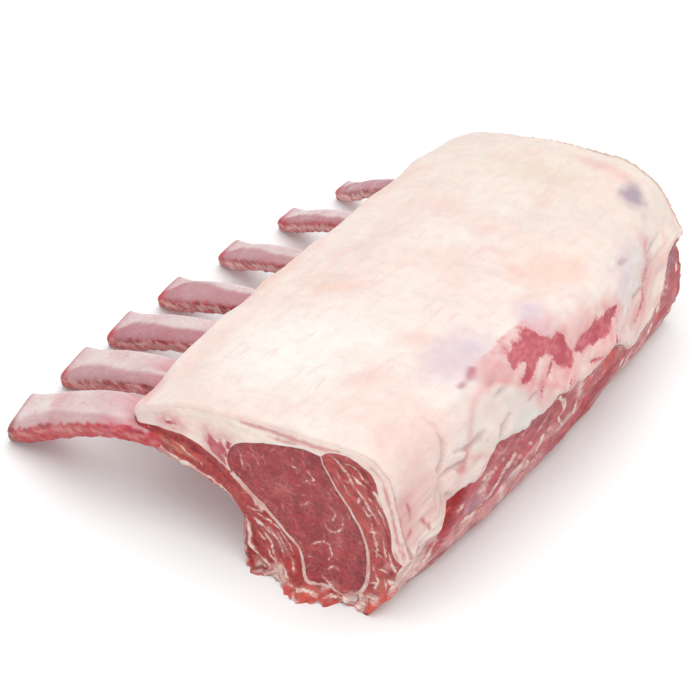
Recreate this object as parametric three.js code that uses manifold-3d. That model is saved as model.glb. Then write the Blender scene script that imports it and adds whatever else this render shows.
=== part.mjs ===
// Raw rack of lamb: a loin block under its fat cap, with seven frenched rib bones that slope down
// to the surface it lies on. Millimetres, +Z up. The near cut face looks along -Y, the rib tips
// point along -X, and the spine side is at +X. The block is described by one cross-section in X and
// Z, whose muscles and fat share their seams, swept along Y and gently reshaped on the way.

import * as THREE from "three";
import { mergeVertices } from "three/addons/utils/BufferGeometryUtils.js";
import Module from "manifold-3d";

const wasm = await Module();
wasm.setup();

// Driving dimensions of the block. X is 0 at the foot of the spine side, on the near cut face.
const LENGTH = 192; // near cut face to far cut face
const GAP = 0.4; // clearance between neighbouring pieces
const SEAM_TRIM = 0.7; // a seam stops this far short of the point where three pieces meet
const CUT_SLANT = 0.16; // how far the near cut leans along Y for each mm of X, at the base
const CUT_TWIST = 0.0016; // how much of that lean is lost for each mm of height
const BASE_FLAP = 6; // ragged meat that stands out of the near cut at the base
const BREAST_SWELL = 7; // how far the breast-side edge bows out at mid length
const SPINE_SWELL = 6; // the same on the spine side
const SHOULDER_TAPER = 6; // the spine side's upper half draws in by this much at the far end
const FAR_BULGE = 2; // its lower half, bare of fat there, bulges by this much instead
const SHOULDER_DROP = 7; // the spine-side shoulder is this much lower at the far end
const FAR_SLANT = 0.05; // how far the far cut leans along Y for each mm towards the breast side
const END_ROUNDING = 0.025; // share by which the section shrinks at the far cut
const CORE = [-32, 0]; // the section shrinks towards this point

// Where the loft has its stations, as shares of the length.
const STATIONS = [0, 0.03, 0.09, 0.18, 0.29, 0.41, 0.53, 0.65, 0.76, 0.86, 0.93, 0.975, 1];

// Points where three pieces of the section meet: [x, z].
const EYE_FAT_RIBMEAT = [-49.5, 38];
const EYE_FAT_CAP = [-16, 60.5];
const EYE_CAP_RIBMEAT = [-6, 4.5];
const HEM = [14.2, 31]; // lower edge of the fat on the spine side
const BREAST_EDGE = [-86.5, 42.5]; // lower edge of the fat on the breast side
const BASE_SPLIT = [-3, 0];

// Driving dimensions of the bones, counted from the near cut face.
const RIB_COUNT = 7;
const TIP_Y = [-2.5, 30, 57, 86, 120, 152.5, 183]; // middle of each bone's tip
const JOINT_Y = [-5, 19.5, 45.5, 69.5, 99.5, 131.5, 160.5]; // where it enters the block
const FARTHEST_TIP_X = -156; // the tips lie on a shallow arc
const TIP_ARC = 1.03; // mm of arc for one rib step squared
const TIP_ARC_MIDDLE = 2.45; // rib step at which the arc is farthest out
const ROOT_SHIFT = 12; // the first root lies this far along Y from its joint
const ROOT_FAN = 5.7; // and each later one this much less
const RIB_WIDTH = [18, 8.6]; // first bone, last bone
const RIB_THICKNESS = [9.6, 5.5];
const RIB_ROLL = 0.35; // radians by which a bone's outer face turns to the near end, at its tip
const ROLL_FADE = [0.72, 0.42]; // shares of the way to the root between which that turn fades
const TIP_LEAN = 0.98; // height of a tip's middle as a share of the rolled section's reach
const RIB_SIDES = 12;
const RIB_STEPS = 16;
const TIP_SLANT = 0.8; // a tip's cut runs out this much for each step down
const ROOT_NARROWING = 0.8; // the root's size as a share of the tip's
const TIP_CURVE = [[0, 0], [0.22, 0.185], [0.6, 0.61]]; // shares of the way from tip to joint
// The bones' underside in X and Z, from the joint to the root. It stands a little proud of the meat.
const ARCH = [[-100, 32.3], [-88, 33.5], [-72, 32.7], [-58, 29.6], [-48.5, 25]];

const FAT = { color: 0xf3e0d8, roughness: 0.42, metalness: 0 };
const LEAN = { color: 0x9c3038, roughness: 0.5, metalness: 0 };
const CAP_LEAN = { color: 0xb03a3c, roughness: 0.5, metalness: 0 };
const RIB_LEAN = { color: 0x8a2426, roughness: 0.5, metalness: 0 };
const BONE = { color: 0xd9b9b6, roughness: 0.4, metalness: 0 };

const mix = (a, b, share) => a + (b - a) * share;
const smooth = (from, to, value) => {
  const share = Math.min(Math.max((value - from) / (to - from), 0), 1);
  return share * share * (3 - 2 * share);
};

// A run of points, evenly spaced on a smooth curve through the key points.
function curve(keys, count) {
  const line = new THREE.SplineCurve(keys.map(([x, z]) => new THREE.Vector2(x, z)));
  return line.getSpacedPoints(count - 1);
}

// The seams between pieces, and the outer outlines. Each runs from one meeting point to another.
const SEAMS = {
  eyeFat: curve([EYE_FAT_RIBMEAT, [-51.2, 43.5], [-48, 50.5], [-39, 55.3], [-28, 59], [-21, 60.6],
    EYE_FAT_CAP], 14),
  eyeCap: curve([EYE_FAT_CAP, [-12, 53], [-4.5, 42.5], [0.8, 32.5], [1.8, 18], [-0.8, 8.8],
    EYE_CAP_RIBMEAT], 14),
  eyeRibmeat: curve([EYE_CAP_RIBMEAT, [-12, 6.6], [-18.6, 6.4], [-21.5, 11], [-24.2, 18],
    [-34, 26.5], [-44, 34], EYE_FAT_RIBMEAT], 14),
  fatCap: curve([EYE_FAT_CAP, [-12.5, 64], [-6, 65.2], [-0.5, 63.6], [3.4, 59.5], [6, 52],
    [9.3, 43], [10.3, 34], HEM], 14),
  fatRibmeat: curve([BREAST_EDGE, [-79, 44], [-68.5, 44.8], [-60, 42.8], [-54, 40.2],
    EYE_FAT_RIBMEAT], 10),
  capRibmeat: curve([EYE_CAP_RIBMEAT, BASE_SPLIT], 3),
};
const FAT_OUTSIDE = curve([BREAST_EDGE, [-87.6, 46.5], [-84.5, 50.4], [-72, 55], [-59, 59.2],
  [-40.7, 63.2], [-19.5, 66.6], [-2, 68.5], [4.4, 66.6], [9, 61.5], [12, 53], [14.3, 42.5],
  [16.2, 34.5], HEM], 36);
const SPINE_SIDE = curve([HEM, [12.2, 27], [10.6, 20], [7.4, 8.5], [2.5, 0]], 8);
const BASE_SPINE = [new THREE.Vector2(2.5, 0), new THREE.Vector2(...BASE_SPLIT)];
const BASE_CHINE = curve([BASE_SPLIT, [-23, 0], [-42.5, 0]], 7);
const CHINE_WALL = curve([[-42.5, 0], [-44.4, 5], [-44.6, 16], [-45.2, 23], [-50.5, 28.2]], 9);
const ARCH_UNDERSIDE = curve([[-50.5, 28.2], [-60, 31.3], [-70, 33.3], [-80, 34.4], [-87.6, 36.6],
  BREAST_EDGE], 12);

// A seam as one of its two pieces has it: half the gap to its own side, and short of the ends.
function side(name, direction) {
  const points = SEAMS[name];
  const own = points.map((point, i) => {
    const before = points[Math.max(i - 1, 0)];
    const after = points[Math.min(i + 1, points.length - 1)];
    const along = after.clone().sub(before).normalize();
    const across = new THREE.Vector2(along.y, -along.x);
    return point.clone().addScaledVector(across, (direction * GAP) / 2);
  });
  const trimmed = (end, next) => end.clone().add(next.clone().sub(end).setLength(SEAM_TRIM));
  own[0] = trimmed(own[0], own[1]);
  own[own.length - 1] = trimmed(own[own.length - 1], own[own.length - 2]);
  return direction > 0 ? own : own.reverse();
}

// An outer outline without its two end points, which its neighbours' seams replace.
const inner = (points) => points.slice(1, -1);

// How the near cut leans: Y at a point of the section.
const nearCut = (x, z) => x * (CUT_SLANT - CUT_TWIST * z);

// Moves a point of the section, at a share of the length, to its place in the block.
function place(x, z, share) {
  const swell = Math.sin(Math.PI * share);
  const outward = -BREAST_SWELL * smooth(-30, -86, x) * swell ** 0.3;
  const taper = SHOULDER_TAPER * smooth(0.7, 1, share) * smooth(20, 50, z);
  const bulge = FAR_BULGE * smooth(0.76, 0.95, share) * smooth(44, 20, z);
  const spineward = (SPINE_SWELL * swell - taper + bulge) * smooth(-25, 12, x);
  const shoulder = SHOULDER_DROP * smooth(-22, 8, x) * smooth(34, 66, z) * smooth(0, 1, share);
  const shrink = 1 - END_ROUNDING * smooth(0.93, 1, share);
  const flap = BASE_FLAP * Math.exp(-(((x + 22) / 12) ** 2)) * smooth(13, 0, z);
  const lean = nearCut(x, z) - flap;
  return new THREE.Vector3(
    CORE[0] + (x + outward + spineward - CORE[0]) * shrink,
    mix(lean * smooth(0.45, 0, share), LENGTH - FAR_SLANT * x, share),
    CORE[1] + (z - shoulder - CORE[1]) * shrink,
  );
}

// An extruded outline whose points are then moved: (x, y) of the outline and the share along it.
function sweep(outline, stations, move) {
  const steps = stations.length - 1;
  const options = { depth: steps, steps, bevelEnabled: false };
  const extruded = new THREE.ExtrudeGeometry(new THREE.Shape(outline), options);
  extruded.deleteAttribute("normal");
  extruded.deleteAttribute("uv");
  const position = extruded.attributes.position;
  for (let i = 0; i < position.count; i += 1) {
    const station = stations[Math.round(position.getZ(i))];
    const moved = move(position.getX(i), position.getY(i), station);
    position.setXYZ(i, moved.x, moved.y, moved.z);
  }
  return mergeVertices(extruded, 1e-4);
}

// The outline runs anticlockwise seen from the near cut, so the sweep goes from far to near.
function layer(outline) {
  return sweep(outline, [...STATIONS].reverse(), place);
}

function ribSize(index, share) {
  const narrowing = mix(1, ROOT_NARROWING, share);
  const order = index / (RIB_COUNT - 1);
  return {
    halfWidth: (mix(...RIB_WIDTH, order) / 2) * narrowing,
    halfThickness: (mix(...RIB_THICKNESS, order) / 2) * narrowing,
  };
}

// A bone's middle line, from its tip on the ground, up to the joint and round the arch.
function ribLine(index) {
  const tipX = FARTHEST_TIP_X + TIP_ARC * (index - TIP_ARC_MIDDLE) ** 2;
  const tip = ribSize(index, 0);
  const lift = tip.halfThickness;
  const tipZ = (lift * Math.cos(RIB_ROLL) + tip.halfWidth * Math.sin(RIB_ROLL)) * TIP_LEAN;
  const [jointX, jointZ] = ARCH[0];
  const rootX = ARCH[ARCH.length - 1][0];
  const rootY = JOINT_Y[index] + ROOT_SHIFT - ROOT_FAN * index;
  const visible = TIP_CURVE.map(([along, rise]) => new THREE.Vector3(
    mix(tipX, jointX, along),
    mix(TIP_Y[index], JOINT_Y[index], along),
    mix(tipZ, jointZ + lift, rise),
  ));
  const hidden = ARCH.map(([x, z]) => {
    const along = (x - jointX) / (rootX - jointX);
    const own = ribSize(index, mix(0.5, 1, along)).halfThickness;
    return new THREE.Vector3(x, mix(JOINT_Y[index], rootY, along), z + own);
  });
  return new THREE.CatmullRomCurve3([...visible, ...hidden], false, "centripetal");
}

// The section of a bone: an oval with flattened faces.
function ribOutline() {
  const flatness = 0.5;
  const bend = (value) => Math.sign(value) * Math.abs(value) ** flatness;
  return Array.from({ length: RIB_SIDES }, (_, i) => {
    const angle = (2 * Math.PI * (i + 0.5)) / RIB_SIDES;
    return new THREE.Vector2(bend(Math.cos(angle)), bend(Math.sin(angle)));
  });
}

// A bone, or the channel that it lies in when grown by a clearance.
function rib(index, grown = 0) {
  const line = ribLine(index);
  const up = new THREE.Vector3(0, 0, 1);
  const stations = Array.from({ length: RIB_STEPS + 1 }, (_, i) => i / RIB_STEPS);
  return sweep(ribOutline(), stations, (across, height, share) => {
    const along = line.getTangentAt(share);
    const sideways = up.clone().cross(along).normalize();
    const upward = along.clone().cross(sideways);
    const size = ribSize(index, share);
    const broad = across * (size.halfWidth + grown);
    const thick = height * (size.halfThickness + grown);
    const roll = RIB_ROLL * smooth(...ROLL_FADE, share);
    const slant = TIP_SLANT * thick * smooth(0.13, 0, share);
    const end = share === 1 ? grown : slant;
    return line.getPointAt(share)
      .addScaledVector(sideways, broad * Math.cos(roll) - thick * Math.sin(roll))
      .addScaledVector(upward, thick * Math.cos(roll) + broad * Math.sin(roll))
      .addScaledVector(along, end);
  });
}

// three.js mesh data to a manifold solid and back.
function solid(geometry) {
  return new wasm.Manifold(new wasm.Mesh({
    numProp: 3,
    vertProperties: new Float32Array(geometry.attributes.position.array),
    triVerts: new Uint32Array(geometry.index.array),
  }));
}

function geometryOf(manifold) {
  const mesh = manifold.getMesh();
  const geometry = new THREE.BufferGeometry();
  geometry.setAttribute("position", new THREE.BufferAttribute(mesh.vertProperties, 3));
  geometry.setIndex(new THREE.BufferAttribute(mesh.triVerts, 1));
  return geometry;
}

// Cuts the bones' channels out of a layer and keeps its largest body.
function withChannels(geometry, channels) {
  const cut = channels.reduce((rest, channel) => rest.subtract(channel), solid(geometry));
  const bodies = cut.decompose().sort((a, b) => b.volume() - a.volume());
  return geometryOf(bodies[0]);
}

function named(name, geometry, look) {
  geometry.computeVertexNormals();
  const mesh = new THREE.Mesh(geometry, new THREE.MeshStandardMaterial(look));
  mesh.name = name;
  return mesh;
}

const fatOutline = [...side("fatRibmeat", -1), ...inner(FAT_OUTSIDE), ...side("fatCap", -1),
  ...side("eyeFat", -1)];
const eyeOutline = [...side("eyeFat", 1), ...side("eyeCap", 1), ...side("eyeRibmeat", 1)];
const capOutline = [...side("fatCap", 1), ...inner(SPINE_SIDE), ...BASE_SPINE.slice(0, 1),
  ...side("capRibmeat", -1), ...side("eyeCap", -1)];
const ribmeatOutline = [...side("fatRibmeat", 1), ...side("eyeRibmeat", -1),
  ...side("capRibmeat", 1), ...inner(BASE_CHINE), ...CHINE_WALL.slice(0, -1),
  ...inner(ARCH_UNDERSIDE)];

const group = new THREE.Group();
const channels = Array.from({ length: RIB_COUNT }, (_, i) => solid(rib(i, GAP)));
group.add(named("fat_cap", withChannels(layer(fatOutline), channels), FAT));
group.add(named("loin_eye", layer(eyeOutline), LEAN));
group.add(named("cap_meat", layer(capOutline), CAP_LEAN));
group.add(named("rib_meat", withChannels(layer(ribmeatOutline), channels), RIB_LEAN));
for (let i = 0; i < RIB_COUNT; i += 1) {
  group.add(named(`rib_${i + 1}`, rib(i), BONE));
}

// The origin is the middle of the bounding box, on the surface that the rack lies on.
const box = new THREE.Box3().setFromObject(group);
const middle = box.getCenter(new THREE.Vector3());
group.position.set(-middle.x, -middle.y, -box.min.z);

export default group;
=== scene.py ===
"""Raw rack of lamb, as it looks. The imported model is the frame; each of its solids is replaced here by
a finer mesh of the same form. A layer of the block is a section outline in X and Z, carried along Y in
straight coordinates, painted and given its relief there, and then moved to its place by the same rule
as the solids. Distances are in millimetres until a mesh is made."""

import math

import bpy
import numpy as np
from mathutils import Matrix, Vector
from mathutils.geometry import delaunay_2d_cdt


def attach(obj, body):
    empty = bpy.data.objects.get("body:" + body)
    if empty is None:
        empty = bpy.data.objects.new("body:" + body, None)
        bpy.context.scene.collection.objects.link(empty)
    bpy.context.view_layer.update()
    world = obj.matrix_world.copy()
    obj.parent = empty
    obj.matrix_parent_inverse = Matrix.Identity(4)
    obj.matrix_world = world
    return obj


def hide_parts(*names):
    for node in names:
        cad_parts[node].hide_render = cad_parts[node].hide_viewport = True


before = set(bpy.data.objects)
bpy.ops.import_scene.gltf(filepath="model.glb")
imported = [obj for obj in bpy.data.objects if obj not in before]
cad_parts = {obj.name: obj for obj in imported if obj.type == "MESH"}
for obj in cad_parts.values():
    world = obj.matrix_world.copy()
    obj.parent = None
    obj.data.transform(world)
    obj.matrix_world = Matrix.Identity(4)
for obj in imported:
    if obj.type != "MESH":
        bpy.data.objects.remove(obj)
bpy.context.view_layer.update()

MM = 0.001
BLOCK_ORIGIN = np.array([67.528, -91.576, 0.0])  # the block's own origin in the frame

# ---- driving dimensions, as in the solids ----
LENGTH = 192.0
CUT_SLANT = 0.16
CUT_TWIST = 0.0016
BASE_FLAP = 6.0
BREAST_SWELL = 7.0
SPINE_SWELL = 6.0
SHOULDER_TAPER = 6.0
FAR_BULGE = 2.0
SHOULDER_DROP = 7.0
FAR_SLANT = 0.05
END_ROUNDING = 0.025
CORE_X = -32.0

EYE_FAT_RIBMEAT = (-49.5, 38)
EYE_FAT_CAP = (-16, 60.5)
EYE_CAP_RIBMEAT = (-6, 4.5)
HEM = (14.2, 31)
BREAST_EDGE = (-86.5, 42.5)
BASE_SPLIT = (-3, 0)
BASE_SPINE = (2.5, 0)

RIB_COUNT = 7
TIP_Y = (-2.5, 30, 57, 86, 120, 152.5, 183)
JOINT_Y = (-5, 19.5, 45.5, 69.5, 99.5, 131.5, 160.5)
FARTHEST_TIP_X = -156.0
TIP_ARC = 1.03
TIP_ARC_MIDDLE = 2.45
ROOT_SHIFT = 12.0
ROOT_FAN = 5.7
RIB_WIDTH = (18, 8.6)
RIB_THICKNESS = (9.6, 5.5)
RIB_ROLL = 0.35
ROLL_FADE = (0.72, 0.42)
TIP_LEAN = 0.98
TIP_SLANT = 0.8
ROOT_NARROWING = 0.8
TIP_CURVE = ((0, 0), (0.22, 0.185), (0.6, 0.61))
ARCH = ((-100, 32.3), (-88, 33.5), (-72, 32.7), (-58, 29.6), (-48.5, 25))

# How fine the meshes are.
SEAM_STEP = 1.0
SKIN_STEP = 0.75
NEAR_CUT_STEP = 0.38
FAR_CUT_STEP = 0.8
STATION_STEP = 1.1
EDGE_STATIONS = (0, 0.35, 0.8, 1.4, 2.1)
MIDDLE_START = 3
SHARP_ANGLE = 60


# ---- small numeric helpers ----
def smooth(start, end, value):
    share = np.clip((value - start) / (end - start), 0, 1)
    return share * share * (3 - 2 * share)


def mix(a, b, share):
    return a + (b - a) * share


def hump(value, middle, width):
    """1 where a value is at the middle, falling off softly on both sides."""
    return np.exp(-(((value - middle) / width) ** 2))


def unit(vectors):
    return vectors / np.linalg.norm(vectors, axis=-1)[..., None]


def lattice(cell, seed):
    """A repeatable number from 0 to 1 for each whole-number cell."""
    cell = cell.astype(np.int64)
    mixed = cell[..., 0] * 374761393 + cell[..., 1] * 668265263 + cell[..., 2] * 2246822519
    mixed = (mixed + seed * 3266489917) & 0xFFFFFFFF
    mixed = ((mixed ^ (mixed >> 15)) * 2654435761) & 0xFFFFFFFF
    mixed = ((mixed ^ (mixed >> 13)) * 1274126177) & 0xFFFFFFFF
    return ((mixed ^ (mixed >> 16)) & 0xFFFF) / 65535.0


def noise(points, size, seed):
    """Smooth noise from -1 to 1 whose lumps are about this size, which may differ by axis."""
    scaled = points / np.asarray(size, float)
    base = np.floor(scaled)
    part = scaled - base
    part = part * part * (3 - 2 * part)
    total = np.zeros(len(points))
    for corner in np.ndindex(2, 2, 2):
        weight = np.prod(np.where(corner, part, 1 - part), axis=1)
        total += weight * lattice(base + corner, seed)
    return 2 * total - 1


def lumps(points, *parts):
    """Noises added up, each given as its height, its size and its seed."""
    return sum(height * noise(points, size, seed) for height, size, seed in parts)


def fractal(points, size, seed, octaves=3):
    size = np.asarray(size, float)
    layers = [noise(points, size / 2**i, seed + i) / 2**i for i in range(octaves)]
    return sum(layers) / (2 - 2 ** (1 - octaves))


def ridges(points, size, seed):
    """Thin winding lines: 1 on a line, falling to 0 away from it."""
    return 1 - np.clip(np.abs(noise(points, size, seed)) * 4, 0, 1)


def turned(points, degrees):
    """Points with their last two coordinates turned, so that noise can run slantwise on a side."""
    angle = math.radians(degrees)
    result = points.copy()
    result[:, 1] = points[:, 1] * math.cos(angle) + points[:, 2] * math.sin(angle)
    result[:, 2] = points[:, 2] * math.cos(angle) - points[:, 1] * math.sin(angle)
    return result


CURVE_STEPS = 40  # steps between two key points of a curve, before it is spaced evenly


def spline(keys, step):
    """Points about a step apart on the smooth curve through the key points."""
    keys = np.asarray(keys, float)
    padded = np.vstack([keys[0], keys, keys[-1]])
    fine = []
    for before, start, end, after in zip(padded, padded[1:], padded[2:], padded[3:]):
        t = np.linspace(0, 1, CURVE_STEPS, endpoint=False)[:, None]
        from_speed, to_speed = (end - before) / 2, (after - start) / 2
        cubic = (2 * start - 2 * end + from_speed + to_speed) * t**3
        square = (-3 * start + 3 * end - 2 * from_speed - to_speed) * t**2
        fine.append(cubic + square + from_speed * t + start)
    return evenly(np.vstack([*fine, keys[-1:]]), step)


def evenly(line, step):
    """Points about a step apart on a broken line."""
    run = np.r_[0, np.cumsum(np.linalg.norm(np.diff(line, axis=0), axis=1))]
    count = max(int(round(run[-1] / step)), 2)
    spots = np.linspace(0, run[-1], count + 1)
    return np.stack([np.interp(spots, run, line[:, i]) for i in range(line.shape[1])], 1)


def distance_to(points, line):
    """Distance from each point to a broken line, and the share of the line's length it lies at."""
    line = np.asarray(line, float)
    lengths = np.linalg.norm(np.diff(line, axis=0), axis=1)
    starts = np.r_[0, np.cumsum(lengths)]
    best = np.full(len(points), np.inf)
    share = np.zeros(len(points))
    for i, length in enumerate(lengths):
        way = (line[i + 1] - line[i]) / length
        along = np.clip((points - line[i]) @ way, 0, length)
        gap = np.linalg.norm(points - line[i] - along[:, None] * way, axis=1)
        nearer = gap < best
        best = np.where(nearer, gap, best)
        share = np.where(nearer, (starts[i] + along) / starts[-1], share)
    return best, share


def inside(points, loop):
    """Which points lie inside a closed outline."""
    result = np.zeros(len(points), bool)
    for (x0, z0), (x1, z1) in zip(loop, np.roll(loop, -1, axis=0)):
        if z0 == z1:
            continue
        crosses = (z0 > points[:, 1]) != (z1 > points[:, 1])
        meets = (x1 - x0) * (points[:, 1] - z0) / (z1 - z0) + x0
        result ^= crosses & (points[:, 0] < meets)
    return result


# ---- painting helpers ----
FAR_OUTSIDE = -9.0  # a field's value far outside whatever is drawn
LIGHT_LEVEL = 1.35  # the light is brighter than 1, as over a white table, so surfaces are darker


def tint(red, green, blue):
    """A surface's own colour, from the one it shows in this light, given from 0 to 255."""
    values = np.array([red, green, blue]) / 255
    linear = np.where(values <= 0.04045, values / 12.92, ((values + 0.055) / 1.055) ** 2.4)
    return linear / LIGHT_LEVEL


def over(colours, share, other):
    """Lays another colour over the colours, by a share at each point."""
    return colours + (other - colours) * np.clip(share, 0, 1)[:, None]


class Paint:
    """The colours of a piece's points, laid one over another."""

    def __init__(self, colour, count):
        self.colours = np.tile(colour, (count, 1))

    def lay(self, colour, share, where=slice(None)):
        """Lays a colour over the points, or over some of them, by a share at each."""
        self.colours[where] = over(self.colours[where], share, colour)

    def lay_areas(self, spots, areas, ragged, where):
        """Lays a table's soft areas, each by its own strength, where a point may have them."""
        for colour, centre, radii, turn, strength in areas:
            self.lay(colour, strength * oval(spots, centre, radii, turn, ragged) * where)


def stroke(points, drawn, uneven=0.35):
    """How far inside a painted stroke each point is, in mm: positive inside, negative outside. A
    stroke is drawn as its width and then its points."""
    width, *line = drawn
    gap, share = distance_to(points, line)
    taper = np.sin(np.pi * np.clip(share, 0.04, 0.96)) ** 0.5
    spots = np.column_stack([points, np.full(len(points), width * 10)])
    return width / 2 * taper * (1 + uneven * noise(spots, 2.6, 21)) - gap


def strokes(points, drawn, uneven=0.35):
    """How far inside the nearest of several painted strokes each point is."""
    field = np.full(len(points), FAR_OUTSIDE)
    for each in drawn:
        field = np.maximum(field, stroke(points, each, uneven))
    return field


def patch(points, keys):
    """How far inside a closed, rounded outline each point is, in mm."""
    loop = spline([*keys, keys[0]], 1.2)
    low, high = loop.min(0) - 4, loop.max(0) + 4
    near = np.all((points > low) & (points < high), axis=1)
    field = np.full(len(points), FAR_OUTSIDE)
    gap, _ = distance_to(points[near], loop)
    field[near] = np.where(inside(points[near], loop), gap, -gap)
    return field


def oval(points, centre, radii, turn=0, ragged=0):
    """1 in the middle of an oval area, fading to 0 at its uneven edge."""
    angle = math.radians(turn)
    away = points - np.asarray(centre, float)
    along = away[:, 0] * math.cos(angle) + away[:, 1] * math.sin(angle)
    across = away[:, 1] * math.cos(angle) - away[:, 0] * math.sin(angle)
    return smooth(1.2, 0.25, np.hypot(along / radii[0], across / radii[1]) + ragged)


# ---- the block's section ----
SEAMS = {
    "eye_fat": [EYE_FAT_RIBMEAT, (-51.2, 43.5), (-48, 50.5), (-39, 55.3), (-28, 59), (-21, 60.6),
                EYE_FAT_CAP],
    "eye_cap": [EYE_FAT_CAP, (-12, 53), (-4.5, 42.5), (0.8, 32.5), (1.8, 18), (-0.8, 8.8),
                EYE_CAP_RIBMEAT],
    "eye_ribmeat": [EYE_CAP_RIBMEAT, (-12, 6.6), (-18.6, 6.4), (-21.5, 11), (-24.2, 18),
                    (-34, 26.5), (-44, 34), EYE_FAT_RIBMEAT],
    "fat_cap": [EYE_FAT_CAP, (-12.5, 64), (-6, 65.2), (-0.5, 63.6), (3.4, 59.5), (6, 52),
                (9.3, 43), (10.3, 34), HEM],
    "fat_ribmeat": [BREAST_EDGE, (-79, 44), (-68.5, 44.8), (-60, 42.8), (-54, 40.2),
                    EYE_FAT_RIBMEAT],
    "cap_ribmeat": [EYE_CAP_RIBMEAT, BASE_SPLIT],
}
# Width of the fat in a seam at its start, at a share of its length and at its end.
SEAM_WIDTHS = {"eye_cap": (0.4, 0.9, 1.4), "eye_ribmeat": (0.8, 1.1, 2.2)}
SEAM_MIDDLE = 0.55
SKINS = {
    "fat": [BREAST_EDGE, (-87.6, 46.5), (-84.5, 50.4), (-72, 55), (-59, 59.2), (-40.7, 63.2),
            (-19.5, 66.6), (-2, 68.5), (4.4, 66.6), (9, 61.5), (12, 53), (14.3, 42.5),
            (16.2, 34.5), HEM],
    "spine": [HEM, (12.2, 27), (10.6, 20), (7.4, 8.5), BASE_SPINE],
    "base_spine": [BASE_SPINE, BASE_SPLIT],
    "base": [BASE_SPLIT, (-23, 0), (-42.5, 0)],
    "wall": [(-42.5, 0), (-44.4, 5), (-44.6, 16), (-45.2, 23), (-50.5, 28.2)],
    "arch": [(-50.5, 28.2), (-60, 31.3), (-70, 33.3), (-80, 34.4), (-87.6, 36.6), BREAST_EDGE],
}


def half_width(name, count):
    """Half the width of a seam's fat at each of its points."""
    start, middle, end = SEAM_WIDTHS.get(name, (0, 0, 0))
    share = np.linspace(0, 1, count)
    return np.interp(share, [0, SEAM_MIDDLE, 1], [start, middle, end]) / 2


def across_line(line):
    """The way square to a line at each of its points."""
    along = unit(np.gradient(line, axis=0))
    return np.stack([along[:, 1], -along[:, 0]], 1)


def bank(name, direction):
    """A seam as one of its two layers has it, beside the seam's fat."""
    line = spline(SEAMS[name], SEAM_STEP)
    own = line + across_line(line) * (direction * half_width(name, len(line)))[:, None]
    return own if direction > 0 else own[::-1]


# The runs that bound each layer, in turn: a seam with the side of it that the layer is on, or a skin.
LAYER_RUNS = {
    "fat_cap": (("fat_ribmeat", -1), ("fat", 0), ("fat_cap", -1), ("eye_fat", -1)),
    "loin_eye": (("eye_fat", 1), ("eye_cap", 1), ("eye_ribmeat", 1)),
    "cap_meat": (("fat_cap", 1), ("spine", 0), ("base_spine", 0), ("cap_ribmeat", -1), ("eye_cap", -1)),
    "rib_meat": (("fat_ribmeat", 1), ("eye_ribmeat", -1), ("cap_ribmeat", 1), ("base", 0), ("wall", 0),
                 ("arch", 0)),
}


def outline(runs):
    """Joins runs into a closed outline, with each point's kind: seam, or the name of its skin."""
    lines = [bank(name, side) if side else spline(SKINS[name], SKIN_STEP) for name, side in runs]
    points = np.vstack([line[:-1] for line in lines])
    kinds = np.concatenate([["seam" if side else name] * (len(line) - 1)
                            for line, (name, side) in zip(lines, runs)])
    gaps = np.linalg.norm(points - np.roll(points, 1, axis=0), axis=1)
    keep = gaps > 0.05
    return points[keep], kinds[keep]


OUTLINES = {name: outline(runs) for name, runs in LAYER_RUNS.items()}
# A seam's fat is a little wider than the room left for it, so that no crack shows.
SEAM_OVERLAP = 0.12


def seam_outline(name):
    line = spline(SEAMS[name], SEAM_STEP)
    across = across_line(line) * (half_width(name, len(line)) + SEAM_OVERLAP)[:, None]
    closed = np.vstack([line + across, (line - across)[::-1]])
    return closed, np.array(["seam"] * len(closed))


# ---- from straight to placed ----
def place(points):
    """Moves straight points (x, z, y along the block) to where the solids have them."""
    x, z, share = points[:, 0], points[:, 1], np.clip(points[:, 2] / LENGTH, 0, 1)
    swell = np.sin(np.pi * share)
    outward = -BREAST_SWELL * smooth(-30, -86, x) * swell**0.3
    taper = SHOULDER_TAPER * smooth(0.7, 1, share) * smooth(20, 50, z)
    bulge = FAR_BULGE * smooth(0.76, 0.95, share) * smooth(44, 20, z)
    spineward = (SPINE_SWELL * swell - taper + bulge) * smooth(-25, 12, x)
    shoulder = SHOULDER_DROP * smooth(-22, 8, x) * smooth(34, 66, z) * smooth(0, 1, share)
    shrink = 1 - END_ROUNDING * smooth(0.93, 1, share)
    flap = BASE_FLAP * hump(x, -22, 12) * smooth(13, 0, z)
    lean = x * (CUT_SLANT - CUT_TWIST * z) - flap
    far = LENGTH - FAR_SLANT * x
    beyond = points[:, 2] - share * LENGTH
    return np.stack([
        CORE_X + (x + outward + spineward - CORE_X) * shrink,
        mix(lean * smooth(0.45, 0, share), far, share) + beyond,
        (z - shoulder) * shrink,
    ], 1)


def stations():
    """Places along the block, closer together by the two cuts."""
    edge = np.array(EDGE_STATIONS)
    count = int((LENGTH - 2 * MIDDLE_START) / STATION_STEP)
    middle = np.linspace(MIDDLE_START, LENGTH - MIDDLE_START, count)
    return np.r_[edge, middle, LENGTH - edge[::-1]]


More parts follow.
